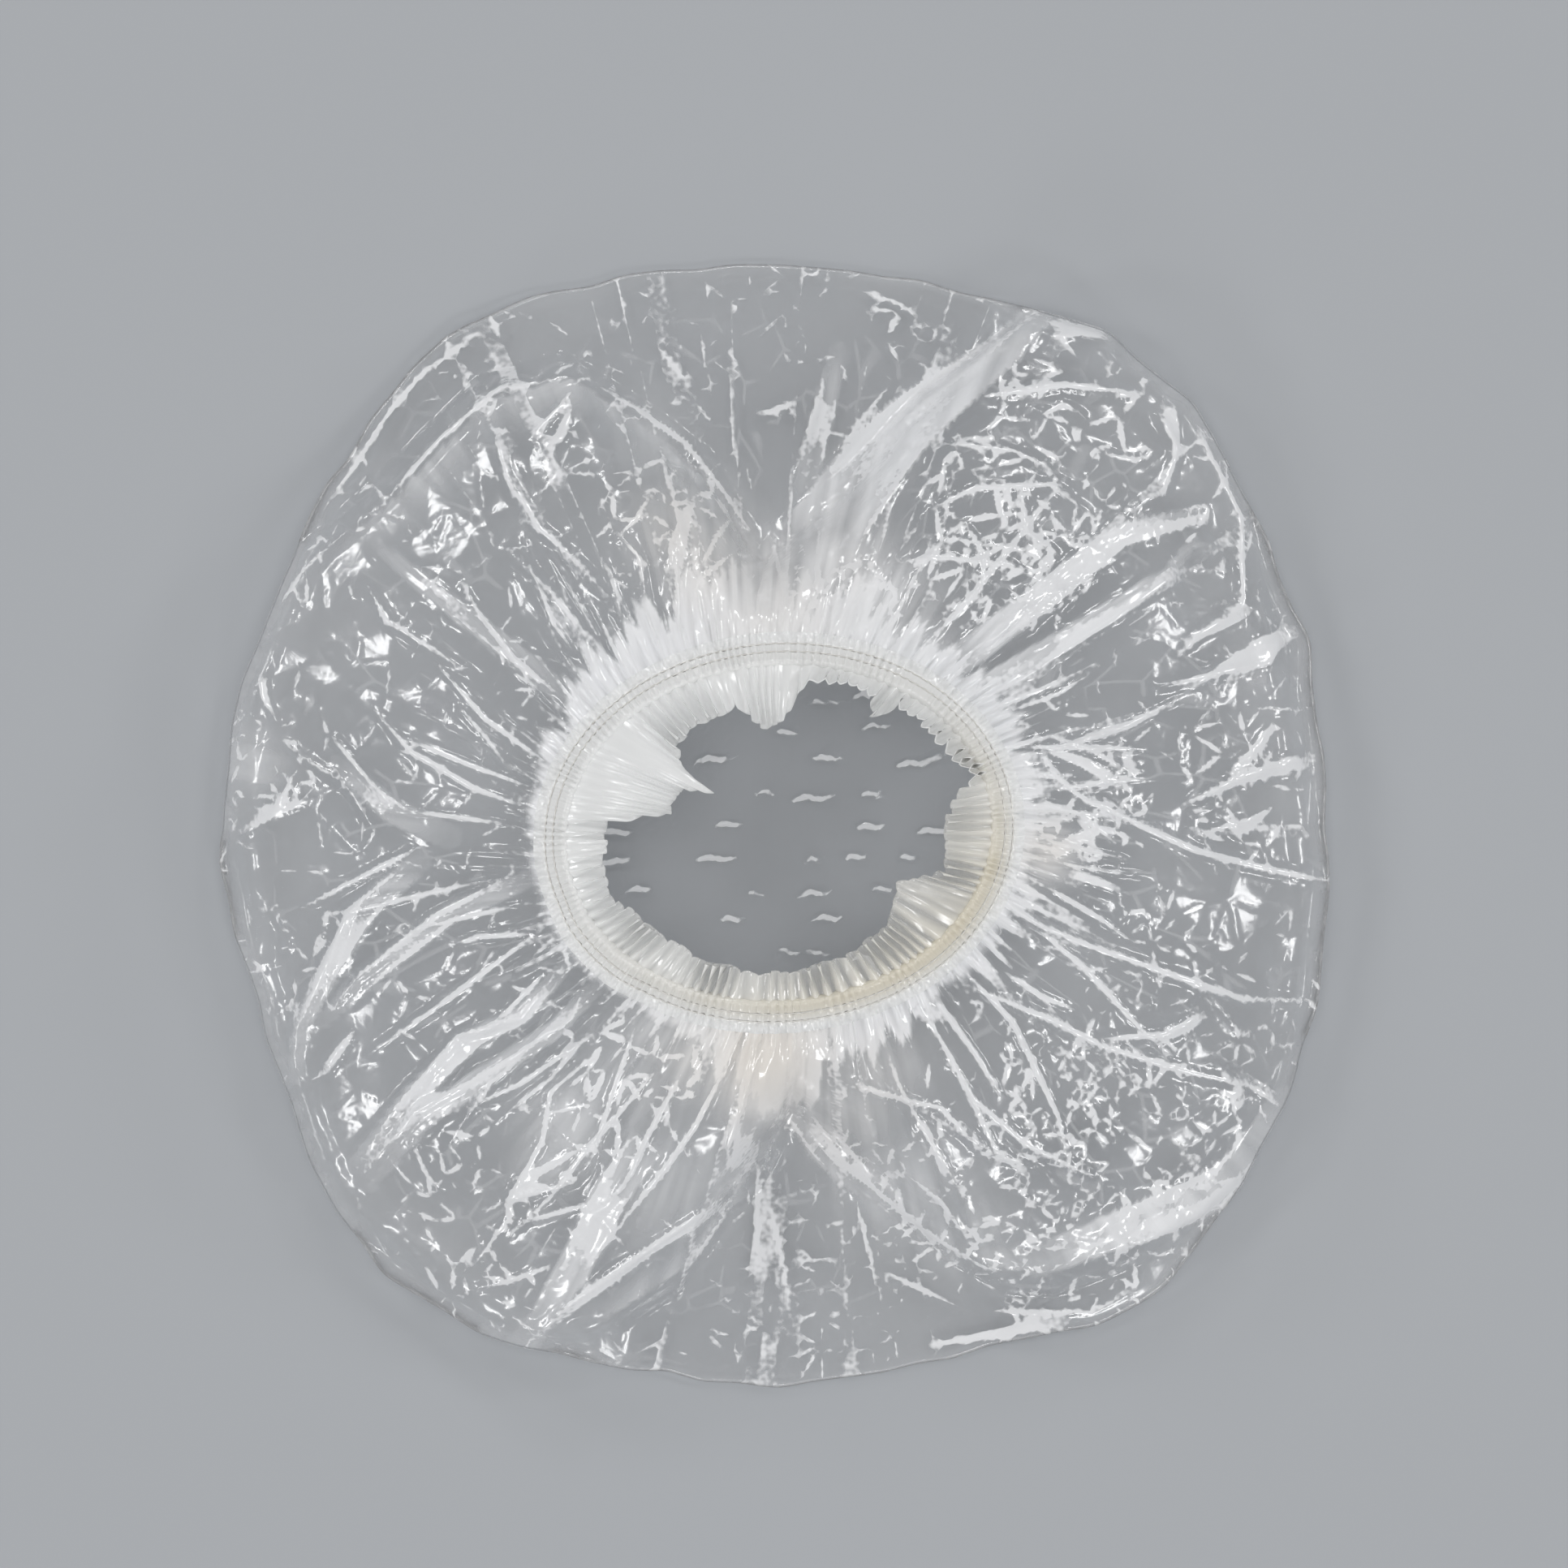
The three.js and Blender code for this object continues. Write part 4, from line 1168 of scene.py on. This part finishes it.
def layFrill():
    dice = np.random.default_rng(frill["seed"])
    angle = np.arange(frill["columns"]) / frill["columns"] * turn
    wave = ruffleWave(angle, frill["ruffles"], dice, frill["wander"])
    shifted = angle + frill["lag"] * turn / frill["ruffles"]
    lag = ruffleWave(shifted, frill["ruffles"], np.random.default_rng(frill["seed"]), frill["wander"])
    root = mouthPoint(angle, frill["rootAcross"], 0)
    rootRadius = np.hypot(root[:, 0], root[:, 1])
    edge = loopRadius(frill["edge"], np.mod(np.arctan2(root[:, 1], root[:, 0]), turn))
    jag = jagged(angle, frill["jags"], 1, dice)
    reach = rootRadius - softened(edge, frill["edgeSoft"]) + frill["jagDepth"] * jag
    reach = np.maximum(reach, frill["leastReach"])
    width = np.maximum(reach * frill["slack"], frill["leastWidth"])
    lean = np.arccos(reach / width)
    outwards = root * (1, 1, 0) / rootRadius[:, None]
    ringwise = np.stack([-outwards[:, 1], outwards[:, 0], 0 * angle], axis=-1)
    up = np.array([0, 0, 1.0])
    there = np.linspace(0, 1, frill["rows"])
    share = np.concatenate([there, there[::-1]])[:, None]
    face = np.repeat([0.5, -0.5], frill["rows"])[:, None] * frill["gap"]
    bowed = lean + frill["bow"] * (mouth["tilt"] - lean) * (1 - share)
    along = -outwards * np.cos(bowed)[..., None] + up * np.sin(bowed)[..., None]
    square = outwards * np.sin(bowed)[..., None] + up * np.cos(bowed)[..., None]
    size = frill["rootWave"] + (frill["edgeWave"] - frill["rootWave"]) * share ** frill["waveGrowth"]
    loss, *longer = frill["calm"]
    calm = 1 - loss * smooth(reach, *longer)
    lift = size * wave * calm + face
    sway = frill["sway"] * share * lag * calm
    places = root + along * (width * share)[..., None] + square * lift[..., None] + ringwise * sway[..., None]
    places[..., 2] -= frill["sag"] * np.maximum(reach - frill["carried"], 0) ** 2 * share**2
    solid = around(angle, frill["white"])
    top, gain = frill["ruffleWhite"]
    # painted highlight on the ruffles' tops, painted shade in their hollows
    white = solid + (top - solid) * gain * np.clip(wave, -1, 1) * calm
    edgeFrom, whiter = frill["edgeWhite"]
    white = np.where(share > edgeFrom, white + whiter, white)
    atRoot, lost = frill["cream"]
    cream = around(angle, creamSpots) * atRoot * (1 - lost * share)
    return places, {"white": np.clip(white, *frill["whiteRange"]), "cream": cream}


frillSheet = ringSheet("frill_film", *layFrill())
dressMouth(frillSheet, "frill", gatheredFilm)
print("frill ruffled")


# Elastic: a knitted tape, its ribs lengthwise, its two ends lapped
elastic = {
    "width": 7,
    "thickness": 0.8,
    "steps": 720,
    "ribs": 9,
    "ribHeight": 0.12,
}


def makeElastic():
    ring = 4 * elastic["ribs"]
    bm = bmesh.new()
    bmesh.ops.create_grid(bm, x_segments=elastic["steps"], y_segments=2 * ring, size=1)
    flat = np.array([vert.co[:2] for vert in bm.verts]) + 1
    turned = flat[:, 0] / 2 * (turn + mouth["lap"] * tapeTurn())
    side = np.rint(flat[:, 1] * ring) / ring  # 0 to 1 over the top, 1 to 2 back underneath
    across = np.where(side <= 1, 1 - 2 * side, 2 * side - 3) * elastic["width"] / 2
    rib = elastic["ribHeight"] * (np.abs(np.sin(math.pi * elastic["ribs"] * side)) - 1)
    above = np.where(side <= 1, 1, -1) * (elastic["thickness"] / 2 + rib) * (np.mod(side, 1) > 0)
    climb = mouth["climb"] * smooth(turned, turn - mouth["ramp"] * tapeTurn(), turn)
    places = mouthPoint(mouth["lapAngle"] + turned, across, above + climb)
    return smoothPiece("elastic_tape", bm, places, rolled=True)


def yarnMaterial(name, look):
    material, tree = newMaterial(name)
    place = addNode(tree, "ShaderNodeTexCoord", out="Object")
    scale = 1 / (look["grain"] * mm)
    yarn = addNode(tree, "ShaderNodeTexNoise", {"Vector": place, "Scale": scale, "Detail": look["detail"]})
    tints = {0: yarn, 6: srgb(look["shade"]), 7: srgb(look["light"])}
    tint = addNode(tree, "ShaderNodeMix", tints, out=2, data_type="RGBA")
    sockets = {"Base Color": tint, "Roughness": look["roughness"], "Sheen Weight": look["sheen"]}
    if look["relief"]:
        depth = look["relief"] * mm
        bump = {"Height": yarn, "Strength": look["reliefStrength"], "Distance": depth}
        sockets["Normal"] = addNode(tree, "ShaderNodeBump", bump)
    finishMaterial(tree, addNode(tree, "ShaderNodeBsdfPrincipled", sockets))
    return material


# Knitted elastic: cream polyester yarn over rubber, matt and uneven
knittedElastic = {
    "shade": "#F2EEE4",
    "light": "#FDFCF8",
    "grain": 0.7,  # mm
    "detail": 2,
    "relief": 0.2,  # mm
    "reliefStrength": 0.6,
    "roughness": 0.85,
    "sheen": 0.2,
}
elasticBand = makeElastic()
dressMouth(elasticBand, "elastic_band", yarnMaterial("knitted_elastic", knittedElastic))
print("elastic laid")


# Threads: two rows of needle stitches on the hem, and the looper thread that zigzags under it
thread = {
    "stitches": 132,
    "radius": 0.22,
    "length": 0.92,  # share of the pitch that each stitch shows
    "bow": 0.35,  # rise of a stitch between its two holes
    "above": 1.38,
    "looperAbove": -1.75,
    "looperSteps": 8,
    "sides": 6,
    "rings": 6,
}


def makeStitches(name, across):
    bm = bmesh.new()
    for _ in range(thread["stitches"]):
        bmesh.ops.create_uvsphere(bm, u_segments=thread["sides"], v_segments=thread["rings"], radius=1)
    ball = np.array([vert.co for vert in bm.verts]).reshape(thread["stitches"], -1, 3)
    along = ball[..., 2]
    count = np.arange(thread["stitches"])[:, None]
    angle = (count + 0.5 + along * thread["length"] / 2) * turn / thread["stitches"]
    rise = thread["above"] - thread["bow"] * along**2 + lapBulge(angle)
    sideways, upwards = ball[..., 0] * thread["radius"], ball[..., 1] * thread["radius"]
    return smoothPiece(name, bm, mouthPoint(angle, across + sideways, rise + upwards).reshape(-1, 3))


def layLooper():
    columns = thread["stitches"] * thread["looperSteps"]
    angle = np.arange(columns) / columns * turn
    side = np.arange(thread["sides"] + 1)[:, None] / thread["sides"] * turn
    swing = np.abs(np.mod(angle / turn * thread["stitches"], 2) - 1) * 2 - 1
    across = hem["stitchRows"][0] * swing + thread["radius"] * np.cos(side)
    return mouthPoint(angle, across, thread["looperAbove"] + thread["radius"] * np.sin(side))


# Polyester sewing thread: white, spun, with a soft shine
polyesterThread = {
    "shade": "#EFEDE8",
    "light": "#FDFCFA",
    "grain": 0.4,
    "detail": 1,
    "relief": 0,
    "roughness": 0.55,
    "sheen": 0.15,
}
sewingThread = yarnMaterial("polyester_thread", polyesterThread)
for side, across in zip(("outer", "inner"), hem["stitchRows"]):
    dressMouth(makeStitches(f"{side}_stitches", across), f"needle_thread_{side}", sewingThread)
looper = ringSheet("looper_zigzag", layLooper(), {})
dressMouth(looper, "looper_thread", sewingThread)
print("hem stitched")


# Studio: a pale floor, lamps all round, and a quiet sky. Lengths in metres
studio = {
    "floor": "#AEB1B5",
    "floorRadius": 4,
    "floorSegments": 96,
    "sky": "#FFFFFF",
    "skyStrength": 0.3,
    "lamps": 9,
    "firstLamp": 0.3,  # of the pitch between them
    "lampSize": (0.38, 0.25),
    "lampAway": 2.0,
    "lampLifts": (24, 38, 30),  # degrees over the floor, in turn
    "lampRadiance": 11.5,
    "overheadSize": 1.2,
    "overheadHeight": 2,
    "overheadRadiance": 2.3,
}


def makeFloor():
    bm = bmesh.new()
    segments, radius = studio["floorSegments"], studio["floorRadius"]
    bmesh.ops.create_circle(bm, cap_ends=True, segments=segments, radius=radius)
    mesh = bpy.data.meshes.new("floor")
    bm.to_mesh(mesh)
    bm.free()
    floor = addObject("floor", mesh)
    material, tree = newMaterial("matt_floor")
    finishMaterial(tree, addNode(tree, "ShaderNodeBsdfDiffuse", {"Color": srgb(studio["floor"])}))
    mesh.materials.append(material)


def makeSky():
    world = bpy.data.worlds.new("studio_sky")
    world.use_nodes = True
    sky = world.node_tree.nodes["Background"]
    sky.inputs["Color"].default_value = srgb(studio["sky"])
    sky.inputs["Strength"].default_value = studio["skyStrength"]
    scene.world = world


def makeLamps():
    away = studio["lampAway"]
    for index in range(studio["lamps"]):
        heading = (index + studio["firstLamp"]) / studio["lamps"] * turn
        lift = math.radians(studio["lampLifts"][index % len(studio["lampLifts"])])
        data = bpy.data.lights.new(f"lamp_{index}", "AREA")
        data.shape = "RECTANGLE"
        data.size, data.size_y = studio["lampSize"]
        data.energy = studio["lampRadiance"] * math.pi * data.size * data.size_y
        lamp = addObject(f"lamp_{index}", data)
        level = away * math.cos(lift)
        lamp.location = (level * math.cos(heading), level * math.sin(heading), away * math.sin(lift))
        lamp.rotation_euler = (-Vector(lamp.location)).to_track_quat("-Z", "Y").to_euler()
    data = bpy.data.lights.new("overhead_lamp", "AREA")
    data.size = studio["overheadSize"]
    data.energy = studio["overheadRadiance"] * math.pi * data.size**2
    lamp = addObject("overhead_lamp", data)
    lamp.location = (0, 0, studio["overheadHeight"])
    lamp.visible_glossy = False  # soft fill, not mirrored in the film


makeFloor()
makeSky()
makeLamps()
scene.view_settings.view_transform = "Standard"
print("studio lit")
